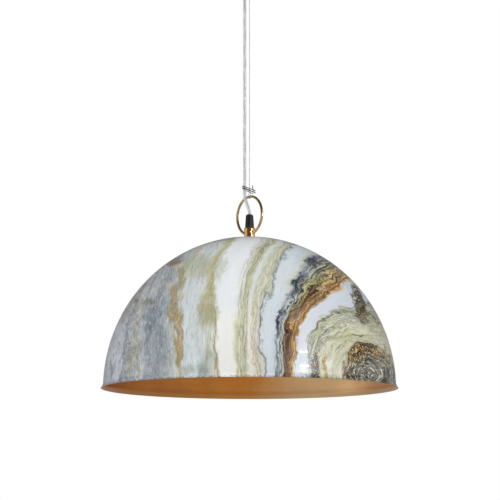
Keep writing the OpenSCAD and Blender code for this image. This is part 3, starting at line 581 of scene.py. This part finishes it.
    # broken dark clots on the right, and the speckled heart with its brown margin
    dx, dz = (x - 162 + torn * 26) / 10, (h - 122 + torn * 34 + (x - 162) * 1.3) / 28
    patch = (dx * dx + dz * dz + layers * 5).step(1.7, 0.8) * front
    m.lay(patch * (0.85 + crumbs * 2 + layers * 5).clamped() * 0.95, 126, 108, 48)
    m.lay(patch * (layers * 16 + speckle * 8 + 0.5).clamped() * 0.95, 34, 28, 16)
    swirl = u + m.noise(46, 3, 0.6) * 0.75
    heart = (u + torn * 0.35).step(1.06, 0.9)
    arcs = m.drawn((swirl * 5.5, along * 6 + x * 0.012, back), 5, 0.72, 0.25)
    grit = m.drawn((swirl * 13, along * 44, back), 2, 0.65)
    m.threads(heart, grit, -22, -0.9, 0.85, 36, 36, 24)
    m.threads(heart, grit, 26, -1.5, 0.9, 240, 238, 224)
    m.threads(heart, arcs, 20, -1.5, 0.8, 204, 206, 176)
    m.threads(heart, arcs, -24, -0.8, 0.95, 30, 32, 20)
    edge = u + torn * 0.55
    top = (h + torn * 20 - (x - 160).size() * 0.4).step(14, 24)
    margin = edge.step(0.56, 0.66) * edge.step(1.08, 1.0) * top
    m.threads(margin, crumbs, 5, 0.8, 0.9, 144, 108, 52)
    m.threads(margin, arcs, 18, -0.4, 0.92, 38, 30, 16)
    m.threads(margin, speckle, -16, -0.9, 0.9, 36, 28, 16)
    m.threads(margin, speckle, 16, -1.0, 0.9, 228, 204, 140)
    rim = edge.near(1.05, 0.07) * 0.8
    m.lay(rim.most(edge.near(0.6, 0.06) * top * 0.8) * front, 52, 44, 28)

    # the lacquer's broken dark edge at the rim
    m.threads(h.step(3.4, 1.4), speckle, 9, 0.5, 0.6, 92, 88, 80)

    # dark threads and pale hairs along the veins
    shadow = m.mix(1.0, m.colour, tint(104, 98, 78), "MULTIPLY")
    quiet = 1 - u0.step(10.6, 12.2) * 0.55
    m.colour = m.mix(comb.near(0.0, 0.035) * busy * quiet * 0.8, m.colour, shadow)
    m.colour = m.mix((hair * -7 - 0.35).clamped() * busy * quiet * 0.9, m.colour, shadow)
    m.lay((hair * 7 - 0.4).clamped() * busy * quiet * 0.6, 238, 238, 228)
    m.set(Base_Color=m.colour, Roughness=0.26 + hair * 0.10)
    m.bump(m.noise(9, 1) * 0.6 + m.noise(160, 2) * 0.04, 0.0005, 0.5)


def copper_leaf_finish():
    m = Finish("copper_leaf", Metallic=0.85)
    x, y, z = m.parts(m.place)
    around = m.node("ShaderNodeMath", {"operation": "ARCTAN2"}, {0: y, 1: x})
    streak = m.drawn((around * 1.2, z * 260, 0.0), 4, 0.6)
    patch = m.noise(24, 4, 0.6)
    speck = m.noise(420, 2)
    m.colour = banded(m, (patch * 0.9 + streak * 0.5 + 0.5).clamped(), (
        (0.0, 196, 122, 52), (0.35, 212, 138, 60), (0.6, 222, 152, 72), (1.0, 232, 174, 100)))
    m.lay((speck * 2.4).clamped() * 0.25, 238, 196, 144)
    # painted light on the lining: paler right of the middle as a painted highlight, darker far right and left
    # of the middle as painted shade; then darker towards the rim
    x = x * 1000 + patch * 60
    m.lay(x.step(0, 100) * 0.95, 252, 222, 170)
    m.lay(x.step(165, 200) * 0.4, 196, 134, 96)
    m.lay(x.step(-30, -170) * 0.4, 164, 116, 84)
    m.lay((z - RIM_Z * MM).step(0.016, 0.002) * 0.55, 150, 108, 62)
    m.set(Base_Color=m.colour, Roughness=0.42 + patch * 0.16 + speck * 0.10)
    m.bump(speck * 0.5 + streak * 0.6 + patch * 0.4, 0.0004, 0.6)


def lip_finish():
    m = Finish("rim_lip", Metallic=0.6)
    worn = m.noise(180, 3)
    # worn copper, its colour kept dark as painted shade under the rim
    worn_shaded_lip = m.between(worn * 2 + 0.5, (106, 68, 42), (150, 106, 76))
    # paler pink towards both ends of the rim as a painted highlight
    side = (m.parts(m.place)[0].size() + worn * 0.02).step(0.16, 0.215)
    m.set(Base_Color=m.mix(side * 0.8, worn_shaded_lip, tint(214, 186, 176)), Roughness=0.4 + worn * 0.2)


def polished_copper_finish():
    m = Finish("copper_finish", Metallic=1.0)
    haze = m.noise(90, 4)
    brush = m.stretched((260, 260, 900), 2)
    spots = m.noise(1500, 2)
    m.colour = m.between(haze * 2 + 0.5, (206, 146, 88), (226, 176, 116))
    m.lay((spots * 3 - 0.55).clamped(), 134, 88, 52)
    m.set(Base_Color=m.colour, Roughness=0.13 + haze * 0.10 + brush * 0.05)
    m.bump(brush * 0.5 + haze * 0.5, 0.00003, 0.5)


def ring_finish():
    m = Finish("ring_bronze", Metallic=1.0)
    haze = m.noise(120, 4)
    wear = m.noise(700, 3)
    m.colour = m.between(haze * 2 + 0.5, (158, 134, 92), (214, 190, 142))
    m.lay((wear * 4 - 0.6).clamped(), 96, 72, 48)
    m.set(Base_Color=m.colour, Roughness=0.12 + haze * 0.12)
    m.bump(wear * 0.4 + haze * 0.6, 0.00003, 0.5)


def moulded_finish(name, colour, pale, roughness, grain=900.0):
    """Moulded plastic: a fine even grain, slightly paler where it stands up, with faint handling marks."""
    m = Finish(name, IOR=1.5)
    skin = m.noise(grain, 3, 0.6)
    rub = m.noise(60, 3)
    m.set(Base_Color=m.between(skin * 1.2 + rub * 0.8 + 0.5, colour, pale),
          Roughness=roughness + rub * 0.16 + skin * 0.06)
    m.bump(skin, 0.00006, 0.5)


def metal_finish(name, colour, pale, roughness, grain=(300.0, 300.0, 300.0)):
    """Plated or turned metal: fine lines along the tool's path, and a slow change of tarnish."""
    m = Finish(name, Metallic=1.0)
    line = m.stretched(grain, 3)
    tarnish = m.noise(110, 3)
    m.set(Base_Color=m.between(tarnish * 1.6 + line * 0.8 + 0.5, colour, pale),
          Roughness=roughness + tarnish * 0.14 + line * 0.10)
    m.bump(line, 0.00002, 0.4)


def clear_sheath_finish():
    m = Finish("clear_flex", IOR=1.48, Coat_Weight=0.4, Coat_Roughness=0.1)
    facing = m.node("ShaderNodeLayerWeight", None, {"Blend": 0.35}, output="Facing")
    drag = m.stretched((400, 400, 40), 3)
    m.set(Base_Color=m.between(drag * 2 + 0.5, (208, 210, 212), (240, 241, 242)),
          Roughness=0.16 + drag * 0.1, Alpha=(0.3 + facing * 0.4 + drag * 0.12).clamped())


def glass_finish():
    m = Finish("bulb_glass", Transmission_Weight=1.0, IOR=1.46)
    cord = m.stretched((20, 20, 60), 2)
    m.set(Base_Color=m.between(cord + 0.5, (244, 249, 249), (252, 254, 254)),
          Roughness=0.01 + (cord * 0.02).size())


def powdery_finish(name, low, high, roughness, fine, coarse, lumps, depth, strength):
    """A baked or coated surface: fine grains over coarse stains, which stand up by their share."""
    m = Finish(name, IOR=1.5)
    grain, stain = m.noise(*fine), m.noise(*coarse)
    m.set(Base_Color=m.between(grain + stain + 0.5, low, high), Roughness=roughness + grain * 0.2)
    m.bump(grain + stain * lumps, depth, strength)


MOULDED = (("black_plastic", (13, 13, 14), (30, 30, 32), 0.4),
           ("white_nylon", (222, 218, 206), (240, 238, 230), 0.45),
           ("core_sleeve", (176, 177, 180), (206, 207, 209), 0.3),
           ("core_sleeve_pale", (206, 206, 207), (232, 232, 233), 0.3),
           ("dark_glass", (26, 25, 30), (44, 42, 48), 0.12, 300.0),
           ("tinned_strand", (214, 215, 216), (242, 242, 243), 0.25, 500.0))
METALS = (("zinc_plate", (176, 180, 186), (214, 217, 222), 0.3),
          ("brass", (186, 148, 78), (222, 190, 116), 0.26, (200, 200, 900)),
          ("steel_wire", (168, 170, 173), (204, 206, 209), 0.5, (300, 300, 60)),
          ("tie_wire", (58, 54, 56), (96, 90, 92), 0.42),
          ("nickel_plate", (186, 184, 178), (222, 220, 214), 0.22, (200, 200, 900)))
for make in (marble_finish, copper_leaf_finish, lip_finish, polished_copper_finish, ring_finish,
             clear_sheath_finish, glass_finish):
    make()
powdery_finish("porcelain", (224, 221, 212), (242, 240, 234), 0.5, (700, 4), (80, 3), 0.0, 0.00005, 0.6)
powdery_finish("phosphor", (226, 176, 66), (246, 212, 116), 0.72, (2200, 3), (240, 2), 0.6, 0.00008, 0.8)
for row in MOULDED:
    moulded_finish(*row)
for row in METALS:
    metal_finish(*row)


def dress(piece, body, slot, *nodes, finish=None):
    """A new piece takes its finish, which is its slot's own unless named, its body and the CAD nodes that it
    stands for."""
    piece.data.materials.append(FINISHES[finish or slot])
    if body:
        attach(piece, body)
    if nodes:
        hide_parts(*nodes)
    return piece


# ---- cords

PINS_AXIS = (math.cos(RING_TURN), math.sin(RING_TURN), 0)
ACROSS_PINS = (-math.sin(RING_TURN), math.cos(RING_TURN), 0)
WIRE_R = 0.5
WIRE_JOIN_H = RING_TOP_H + 15.2
FERRULE_H = RING_TOP_H + 6.2
EYE_R = 2.65
EYE_LEG = 0.8


def upright(direction, line):
    """Points (distance, height) in the upright plane along a direction, with heights from the crown."""
    return np.stack([line[:, 0] * direction[0], line[:, 0] * direction[1], CROWN_Z + line[:, 1]], -1)


def stranded(name, path, radius, reference, strands=6, lay=9.0, sides=24, swell=0.10):
    """A twisted wire rope: a tube whose columns make a full turn in each lay, and whose radius swells over
    each strand by the size of a cosine."""
    r = radius * (1 - swell + swell * np.abs(np.cos(strands * angles_round(sides) / 2)))
    return surface(name, tube_points(path, r, reference, sides, run_of(path) / lay * 2 * math.pi))


def make_suspension_wire():
    """The wire hangs straight, and its end goes down, once round the ring and up again into the ferrule."""
    wire_path = even_path([(0, 0, SWING_Z), (0, 0, CROWN_Z + WIRE_JOIN_H)], 0.5)
    wire = stranded("suspension_wire_strands", wire_path, WIRE_R, (1, 0, 0))
    eye = arc(np.radians(np.arange(180, 361, 15)), EYE_R, RING_TOP_H)
    down = [(0, WIRE_JOIN_H), (-EYE_LEG * 0.5, WIRE_JOIN_H - 2), (-EYE_LEG, FERRULE_H + 5.6),
            (-EYE_LEG, FERRULE_H), (-EYE_LEG - 0.5, FERRULE_H - 1.6), (-EYE_R + 0.3, RING_TOP_H + 2.2)]
    up = [(EYE_R - 0.3, RING_TOP_H + 2.2), (EYE_LEG + 0.5, FERRULE_H - 1.6), (EYE_LEG, FERRULE_H),
          (EYE_LEG, FERRULE_H + 6.2)]
    loop_path = smooth_path(upright(ACROSS_PINS, np.array([*down, *eye, *up])), 0.3)
    loop = stranded("suspension_wire_eye", loop_path, WIRE_R, PINS_AXIS)
    dress(wire, "hanger", "steel_wire", "suspension_wire")
    dress(loop, "hanger", "steel_wire", "suspension_wire")
    return wire, wire_path, loop


GRIP_MOUTH_H = 36.05
BEND_HEIGHT = RING_TOP_H - 31.1
CORE_R, CORE_OFF_AXIS, CORE_PITCH = 0.93, 1.05, 44.0


def make_flex():
    """The flex hangs straight from the outlet, then bends from the tie into the grip on the crown.
    Its two cores turn round each other inside the clear sheath."""
    # the bend's shares of its width, of its reach to the front, and of its height
    shape = np.array([
        [0, 0, 0], [0, 0, 0.08], [0.06, -0.02, 0.18], [0.20, -0.06, 0.29], [0.39, -0.11, 0.41],
        [0.58, -0.14, 0.53], [0.76, -0.14, 0.65], [0.90, -0.10, 0.76], [0.98, -0.04, 0.85],
        [1, 0, 0.93], [1, 0, 1]])
    bend = np.stack([FLEX_X * shape[:, 0], -FLEX_X * shape[:, 1],
                     CROWN_Z + GRIP_MOUTH_H + BEND_HEIGHT * shape[:, 2]], -1)
    top = np.array([(FLEX_X, 0, z) for z in np.linspace(CROWN_Z + RING_TOP_H + 9, SWING_Z, 14)])
    path = smooth_path(np.concatenate([bend, top]), 1.0)[::-1]
    sheath = tube("flex_sheath", path, FLEX_D / 2, (0, 1, 0), 24)
    side, other = sides_of(path, (0, 1, 0))
    pieces = [sheath]
    for k, name in enumerate(("flex_core_bright", "flex_core_grey")):
        turn = (run_of(path) / CORE_PITCH * 2 * math.pi + k * math.pi)[:, None]
        line = path + CORE_OFF_AXIS * (np.cos(turn) * side + np.sin(turn) * other)
        pieces.append(stranded(name, line, CORE_R, (0, 1, 0), strands=7, lay=30.0, sides=28, swell=0.07))
    dress(sheath, None, "clear_flex", "flex_drop", "flex_bend")
    dress(pieces[1], None, "core_sleeve", finish="tinned_strand")
    dress(pieces[2], None, "core_sleeve")
    for piece in pieces:
        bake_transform(piece)
    return pieces, path


def make_tie():
    """Two turns of dark wire in a racetrack round the flex and the wire: two straight runs and two half
    circles, falling with the turns and sideways, and a cut end that stands up."""
    turns, pitch, slope, top = 2, 2.9, 0.42, RING_TOP_H + 16.5
    tie_r, bend_r = 0.62, FLEX_D / 2 + 0.85
    left, right = FLEX_X, 5.4
    run, bend = right - left, math.pi * bend_r
    share = np.linspace(0, turns, 72 * turns + 1)
    s = (share % 1.0) * 2 * (run + bend)
    a1 = np.radians(90 + 180 * (s - run) / bend)
    a2 = np.radians(-90 + 180 * (s - 2 * run - bend) / bend)
    sections = [s < run, s < run + bend, s < 2 * run + bend]
    x = np.select(sections, [right - s, left + bend_r * np.cos(a1), left + s - run - bend],
                  right + bend_r * np.cos(a2))
    y = np.select(sections, [bend_r + 0 * s, bend_r * np.sin(a1), -bend_r + 0 * s], bend_r * np.sin(a2))
    z = CROWN_Z + top - pitch * (turns - share) - slope * (x - left)
    stub = np.array([[5.6, 3.9, -1.6], [4.9, 3.4, 0.2], [4.6, 3.2, 2.2], [4.9, 3.1, 5]])
    stub[:, 2] += CROWN_Z + top - slope * (right - left) + 2.2
    coil = np.stack([x, y, z], -1)
    cut_end = smooth_path(np.concatenate([coil[-1:], stub]), 0.5)
    path = np.concatenate([even_path(coil, 0.5)[:-2], cut_end[1:]])
    tie = tube("tie_wire_turns", path, tie_r, (0.05, 0.03, 1), 14)
    return dress(tie, "hanger", "tie_wire", "flex_tie")


WIRE_TOP_Z = -4.5
SHEATH_END_Z = -17.0
LOOSE_CORE_R = 1.03
CORE_X = 1.2


def out_of_sheath(x):
    return [(x, 0, z) for z in (SHEATH_END_Z + 0.1, -16.2, -15.5)]


# Routes of the loose cores, which are out of the sheath: two from the ceiling, the third from the lampholder
LIVE_ROUTE = out_of_sheath(FLEX_X + CORE_X) + [
    (-5.6, -2.5, -13), (-3, -7.5, -11.2), (2, -12.5, -9.4), (8, -15, -8.2), (11, -12.5, -8), (11, -9, -8),
    (11, -4, -8)]
NEUTRAL_ROUTE = out_of_sheath(FLEX_X - CORE_X) + [
    (-8.9, -3.5, -13.4), (-7.5, -10, -12), (-2, -17, -10.2), (7, -20.5, -8.8), (15, -19, -8), (19, -13.5, -8),
    (19, -9, -8), (19, -4, -8)]
HOLDER_ROUTE = [(1.2, 0, -9.1), (1.2, 0, -9.7), (1.2, 0, -10.3), (2.6, 0, -12), (6.4, 0, -14.2), (9, 0, -17),
                (9, 0, -19.2), (9, 0, -21)]


def core(name, foot, route, up, body, slot, node):
    """One insulated core: straight in the sheath from its foot, then on along its route to the terminal."""
    first = np.array(route[0], float)
    straight = even_path([(first[0], first[1], foot), first - (0, 0, up * 0.4)], 2.0)
    path = smooth_path(np.concatenate([straight, route]), 0.4)
    piece = stranded(name, path, LOOSE_CORE_R, (0.13, 1, 0.07), strands=7, lay=12.0, sides=28)
    return dress(piece, body, slot, node)


def make_hidden_cords():
    """The wire and the flex inside the rose, and the flex from the grip to the lampholder's terminals."""
    path = even_path([(0, 0, SWING_Z + 0.4), (0, 0, WIRE_TOP_Z)], 0.5)
    dress(stranded("wire_in_rose", path, WIRE_R, (1, 0, 0)), "ceiling_unit", "steel_wire", "wire_in_canopy")
    path = even_path([(FLEX_X, 0, SWING_Z + 1.3), (FLEX_X, 0, SHEATH_END_Z)], 1.0)
    sheath = tube("flex_in_rose", path, FLEX_D / 2, (0, 1, 0), 32)
    dress(sheath, "ceiling_unit", "clear_flex", "flex_in_canopy")
    for name, route, slot in (
            ("live", LIVE_ROUTE, "core_sleeve"), ("neutral", NEUTRAL_ROUTE, "core_sleeve_pale")):
        core(f"rose_{name}", SWING_Z + 1.6, route, 1, "ceiling_unit", slot, f"canopy_{name}_core")
    path = even_path([(0, 0, CROWN_Z + 36), (0, 0, HOLDER_Z - 9)], 1.0)
    sheath = tube("flex_in_tube", path, FLEX_D / 2, (0, 1, 0), 32)
    dress(sheath, "shade_unit", "clear_flex", "flex_in_shade")
    for name, side, slot in (("live", 1, "core_sleeve"), ("neutral", -1, "core_sleeve_pale")):
        route = (np.array(HOLDER_ROUTE) + (0, 0, HOLDER_Z)) * (side, 1, 1)
        core(f"holder_{name}", CROWN_Z + 35.6, route, -1, "shade_unit", slot, f"holder_{name}_core")


def make_ring():
    """The ring's arc, and at each end a tight elbow into a straight pin that points inwards."""
    start = math.atan2(-math.sqrt(RING_R ** 2 - ELBOW_U ** 2), ELBOW_U)
    bow = arc(np.linspace(start, math.pi - start, 240), RING_R, RING_CENTRE_H)
    pin = np.array([[4.6, PIVOT_H], [7.0, PIVOT_H], [8.6, PIVOT_H], [9.7, PIVOT_H + 0.1]])
    line = np.concatenate([pin, bow[4:-4], pin[::-1] * (-1, 1)])
    ring = tube("ring_bar", smooth_path(upright(PINS_AXIS, line), 0.5), RING_WIRE_R, ACROSS_PINS, 32)
    return dress(ring, "hanger", "copper_finish", "hanging_ring", finish="ring_bronze")


wire, wire_path, wire_eye = make_suspension_wire()
flex_pieces, flex_path = make_flex()
tie = make_tie()
wire_path[0] * MM
wire_path * MM
flex_path[0] * MM
flex_path * MM
make_hidden_cords()
make_ring()

# ---- shade

def dome_line(depth, steps):
    """Half an ellipse, rim first, with the lip turned out by the square of how near a point is to the rim."""
    t = np.radians(90 * np.linspace(0, 1, steps) ** 1.25)
    height = (SHADE_HEIGHT - depth) * np.sin(t)
    near_rim = np.maximum(0, 1 - SHADE_HEIGHT * np.sin(t) / FLARE_HEIGHT)
    return np.stack([(DOME_R - depth) * np.cos(t) + RIM_FLARE * near_rim ** 2, height], -1)


LIP_DROP = 0.3


def make_shade():
    """The wall: from the crown's hole down inside, round the lip, up outside and across the hole's edge."""
    outer, inner = dome_line(0, 220), dome_line(SHADE_T, 160)
    outer = outer[outer[:, 0] > CROWN_HOLE_R]
    inner = inner[inner[:, 0] > CROWN_HOLE_R]
    outer = np.concatenate([outer, [[CROWN_HOLE_R, outer[-1, 1]]]])
    inner = np.concatenate([inner, [[CROWN_HOLE_R, inner[-1, 1]]]])
    a = np.radians(np.linspace(0, 180, 7)[1:-1])
    middle = (outer[0] + inner[0]) / 2
    lip = np.stack([middle[0] - SHADE_T / 2 * np.cos(a), middle[1] + LIP_DROP * (1 - np.sin(a))], -1)
    profile = np.concatenate([inner[::-1], lip, outer])
    turns = 384
    points = turned(profile, turns)
    points[..., 2] += RIM_Z
    closed = np.concatenate([points, points[:, :1]], 1)
    veins, pace = marbling(closed[..., 0], closed[..., 1], closed[..., 2] - RIM_Z)
    points = np.concatenate([points, points[:1]])
    shade = surface("dome", points, maps={"veins": np.concatenate([veins, veins[:1]]),
                                          "pace": np.concatenate([pace, pace[:1]])})
    dress(shade, "shade_unit", "marble_lacquer", "shade", "shade_lining")
    shade.data.materials.append(FINISHES["copper_leaf"])
    shade.data.materials.append(FINISHES["rim_lip"])
    lacquer, leaf, worn_shaded_lip = 0, 1, 2
    row = np.repeat(np.arange(len(points) - 1), turns)
    inside, edge = len(inner) - 1, len(inner) + len(lip)
    index = np.where(row < inside, leaf, np.where(row < edge, worn_shaded_lip, lacquer))
    index[row == len(points) - 2] = leaf
    if len(shade.data.polygons) != len(index):
        raise SystemExit("the dome's faces were merged")
    shade.data.polygons.foreach_set("material_index", index)


make_shade()

# ---- bulb

# Heights from the bulb's top in the lampholder, which BULB_Z places
GLOBE_R, GLOBE_MIDDLE, GLASS_T = 47.5, -90.5, 0.8
SHOULDER = math.radians(38)
NECK_R, NECK_LOW, NECK_HIGH, NECK_TOP = 11.8, -40.8, -26.8, -7.2
CAP_TOP, THREAD_FOOT, CAP_FOOT = -4.6, -21.2, -25.8
THREAD_R, THREAD_DEPTH, THREAD_PITCH = 13.1, 0.8, 3.6
SKIRT_R, CAP_BORE_R = 13.05, 11.95


def glass_line(depth):
    """The globe's arc, then a bezier curve from its shoulder into the neck."""
    r, neck = GLOBE_R - depth, NECK_R - depth
    globe = arc(np.linspace(-math.pi / 2, SHOULDER, 56), r, GLOBE_MIDDLE)
    p0 = globe[-1]
    p1 = p0 + 0.38 * GLOBE_R * np.array([-math.sin(SHOULDER), math.cos(SHOULDER)])
    p2, p3 = np.array([neck, NECK_LOW]), np.array([neck, NECK_HIGH])
    t = np.linspace(0, 1, 24)[1:, None]
    curve = (1 - t) ** 3 * p0 + 3 * t * (1 - t) ** 2 * p1 + 3 * t ** 2 * (1 - t) * p2 + t ** 3 * p3
    return np.concatenate([globe, curve, [[neck, NECK_TOP]]])


def make_bulb():
    """The glass is a wall of two lines. The cap's radius is a cosine of height and angle, which winds into a
    thread and fades at both its ends, over a plain skirt."""
    wall = np.concatenate([glass_line(0), glass_line(GLASS_T)[::-1]])
    wall[:, 1] += BULB_Z
    glass = surface("globe_glass", turned(wall, 128))
    dress(glass, "bulb", "bulb_glass", "bulb_glass")
    rows, turns = 140, 96
    z = np.linspace(CAP_TOP, CAP_FOOT, rows)[:, None]
    angle = angles_round(turns)[None]
    fade = np.clip((CAP_TOP - z) / 2, 0, 1) * np.clip((z - THREAD_FOOT + 0.4) / 2, 0, 1)
    wave = (1 + np.cos(2 * math.pi * (z - CAP_TOP) / THREAD_PITCH + angle)) / 2
    r = THREAD_R - THREAD_DEPTH * (1 - fade + fade * wave)
    r = np.where(z < THREAD_FOOT, SKIRT_R, r)
    outside = np.stack([r * np.cos(angle), r * np.sin(angle), z + 0 * angle + BULB_Z], -1)
    inside = turned(np.array([[CAP_BORE_R, CAP_FOOT + BULB_Z], [CAP_BORE_R, CAP_TOP + BULB_Z]]), turns)
    cap = surface("bulb_screw_cap", np.concatenate([outside, inside]), wrap_rows=True)
    dress(cap, "bulb", "nickel_plate", "bulb_cap")


make_bulb()

# ---- ceiling rose

ROSE_R, ROSE_HEIGHT, ROSE_WALL, ROSE_CORNER, ROSE_HOLE_R = 55.0, 28.0, 1.2, 10.0, 12.15


def make_rose():
    """A shallow cup with its mouth up: a straight wall, a quarter circle of rounding, and a flat underside
    with the hole of the cord outlet. Rings close to the rounding keep the shading of the flat parts flat."""
    bend = arc(np.radians(np.linspace(0, -90, 17)), 1)
    middle = np.array([ROSE_R - ROSE_CORNER, ROSE_CORNER - ROSE_HEIGHT])
    near, edge = 0.4, 0.15

    def skin(wall, lean):
        r, foot = ROSE_R - wall, wall - ROSE_HEIGHT
        return np.concatenate([
            [[r - lean * edge, 0], [r, -edge], [r, -1], [r, middle[1] + near]],
            middle + (ROSE_CORNER - wall) * bend,
            [[middle[0] - near, foot], [ROSE_HOLE_R + 1, foot], [ROSE_HOLE_R, foot]]])

    profile = np.concatenate([skin(0, 1), skin(ROSE_WALL, -1)[::-1]])
    rose = surface("ceiling_rose", turned(profile, 144), wrap_rows=True)
    dress(rose, "ceiling_unit", "copper_finish", "canopy")


make_rose()

# ---- CAD nodes that stay

for entry in frame["record"]["subparts"]:
    node = frame["nodes"][entry["node"]]
    if node.hide_render:
        continue
    material = FINISHES[entry["material_slot"]]
    for place in range(len(node.material_slots)):
        node.material_slots[place].material = material

# ---- floor, background and lamps


def add_floor():
    size, level = 30000, -3600
    corners = np.array([(x * size, y * size, level) for x, y in ((-1, -1), (1, -1), (1, 1), (-1, 1))])
    floor = new_object("floor", corners, np.array([(0, 1, 2, 3)]))
    m = Finish("floor", Roughness=0.8)
    grain = m.noise(3, 2)
    m.set(Base_Color=m.between(grain + 0.5, (236, 236, 236), (240, 240, 240)))
    floor.data.materials.append(m.material)


def add_world(strength):
    """An even soft light. The camera and glass see it as a white background. Gloss sees it white at the sides
    and below, and dark overhead, behind the camera and far behind the object: a studio with black flags."""
    world = bpy.data.worlds.new("studio")
    bpy.context.scene.world = world
    world.use_nodes = True
    n = Nodes(world.node_tree)
    camera, gloss, through = (n.node("ShaderNodeLightPath", output=kind)
                              for kind in ("Is Camera Ray", "Is Glossy Ray", "Is Transmission Ray"))
    _, y, z = n.parts(n.node("ShaderNodeTexCoord", output="Generated"))
    flag = (z.step(0.15, 0.27) * 0.85).most(y.step(-0.3, -0.75) * z.step(-0.06, 0.08) * 0.88)
    flag = flag.most(y.step(0.3, 0.75) * z.step(-0.3, 0.0) * 0.75)
    level = (1 - gloss * flag) * (strength + camera.most(gloss).most(through) * (1 - strength))
    background = world.node_tree.nodes["Background"]
    n.feed(background.inputs["Strength"], level)
    n.feed(background.inputs["Color"], (1, 1, 1, 1))


def add_lamp(name, place, aim, size, power, mirrored=False, lights=True):
    """A soft rectangular lamp that faces a point; only a mirrored one shows in gloss."""
    data = bpy.data.lights.new(name, "AREA")
    data.shape = "RECTANGLE"
    data.size, data.size_y = size
    data.energy = power
    lamp = add_object(name, data)
    lamp.location = place
    lamp.visible_glossy = mirrored
    lamp.visible_diffuse = lights
    lamp.rotation_euler = (Vector(aim) - Vector(place)).to_track_quat("-Z", "Y").to_euler()


# Windows that only gloss shows: name, place, width and height, and the point of the dome that they face
WINDOWS = (("window_high", (2.02, -2.21, 0.49), (0.36, 0.05)),
           ("window_middle", (2.07, -2.35, 0.02), (0.4, 0.05)),
           ("window_low", (2.11, -2.38, -0.42), (0.56, 0.16)))
WINDOWS_FACE = (0.077, -0.21, RIM_Z * MM + 0.02)
WINDOW_WATTS_PER_AREA = 370

add_floor()
add_world(0.7)
add_lamp("key", (-1.8, -2.2, 1.2), (0, 0, -0.45), (1.6, 1.6), 38)
add_lamp("fill", (2.2, -1.4, 0.2), (0, 0, -0.5), (1.4, 1.4), 12, mirrored=True)
for name, place, size in WINDOWS:
    power = WINDOW_WATTS_PER_AREA * size[0] * size[1]
    add_lamp(name, place, WINDOWS_FACE, size, power, mirrored=True, lights=False)
add_lamp("low_left", (-2.9, 0.1, -0.8), (0.16, 0.15, RIM_Z * MM), (0.8, 0.45), 3.0, mirrored=True)
add_lamp("rear", (0.4, 2.4, 1.0), (0, 0, -0.45), (1.6, 1.6), 22)

bpy.context.scene.view_settings.view_transform = "Standard"
bpy.context.view_layer.update()
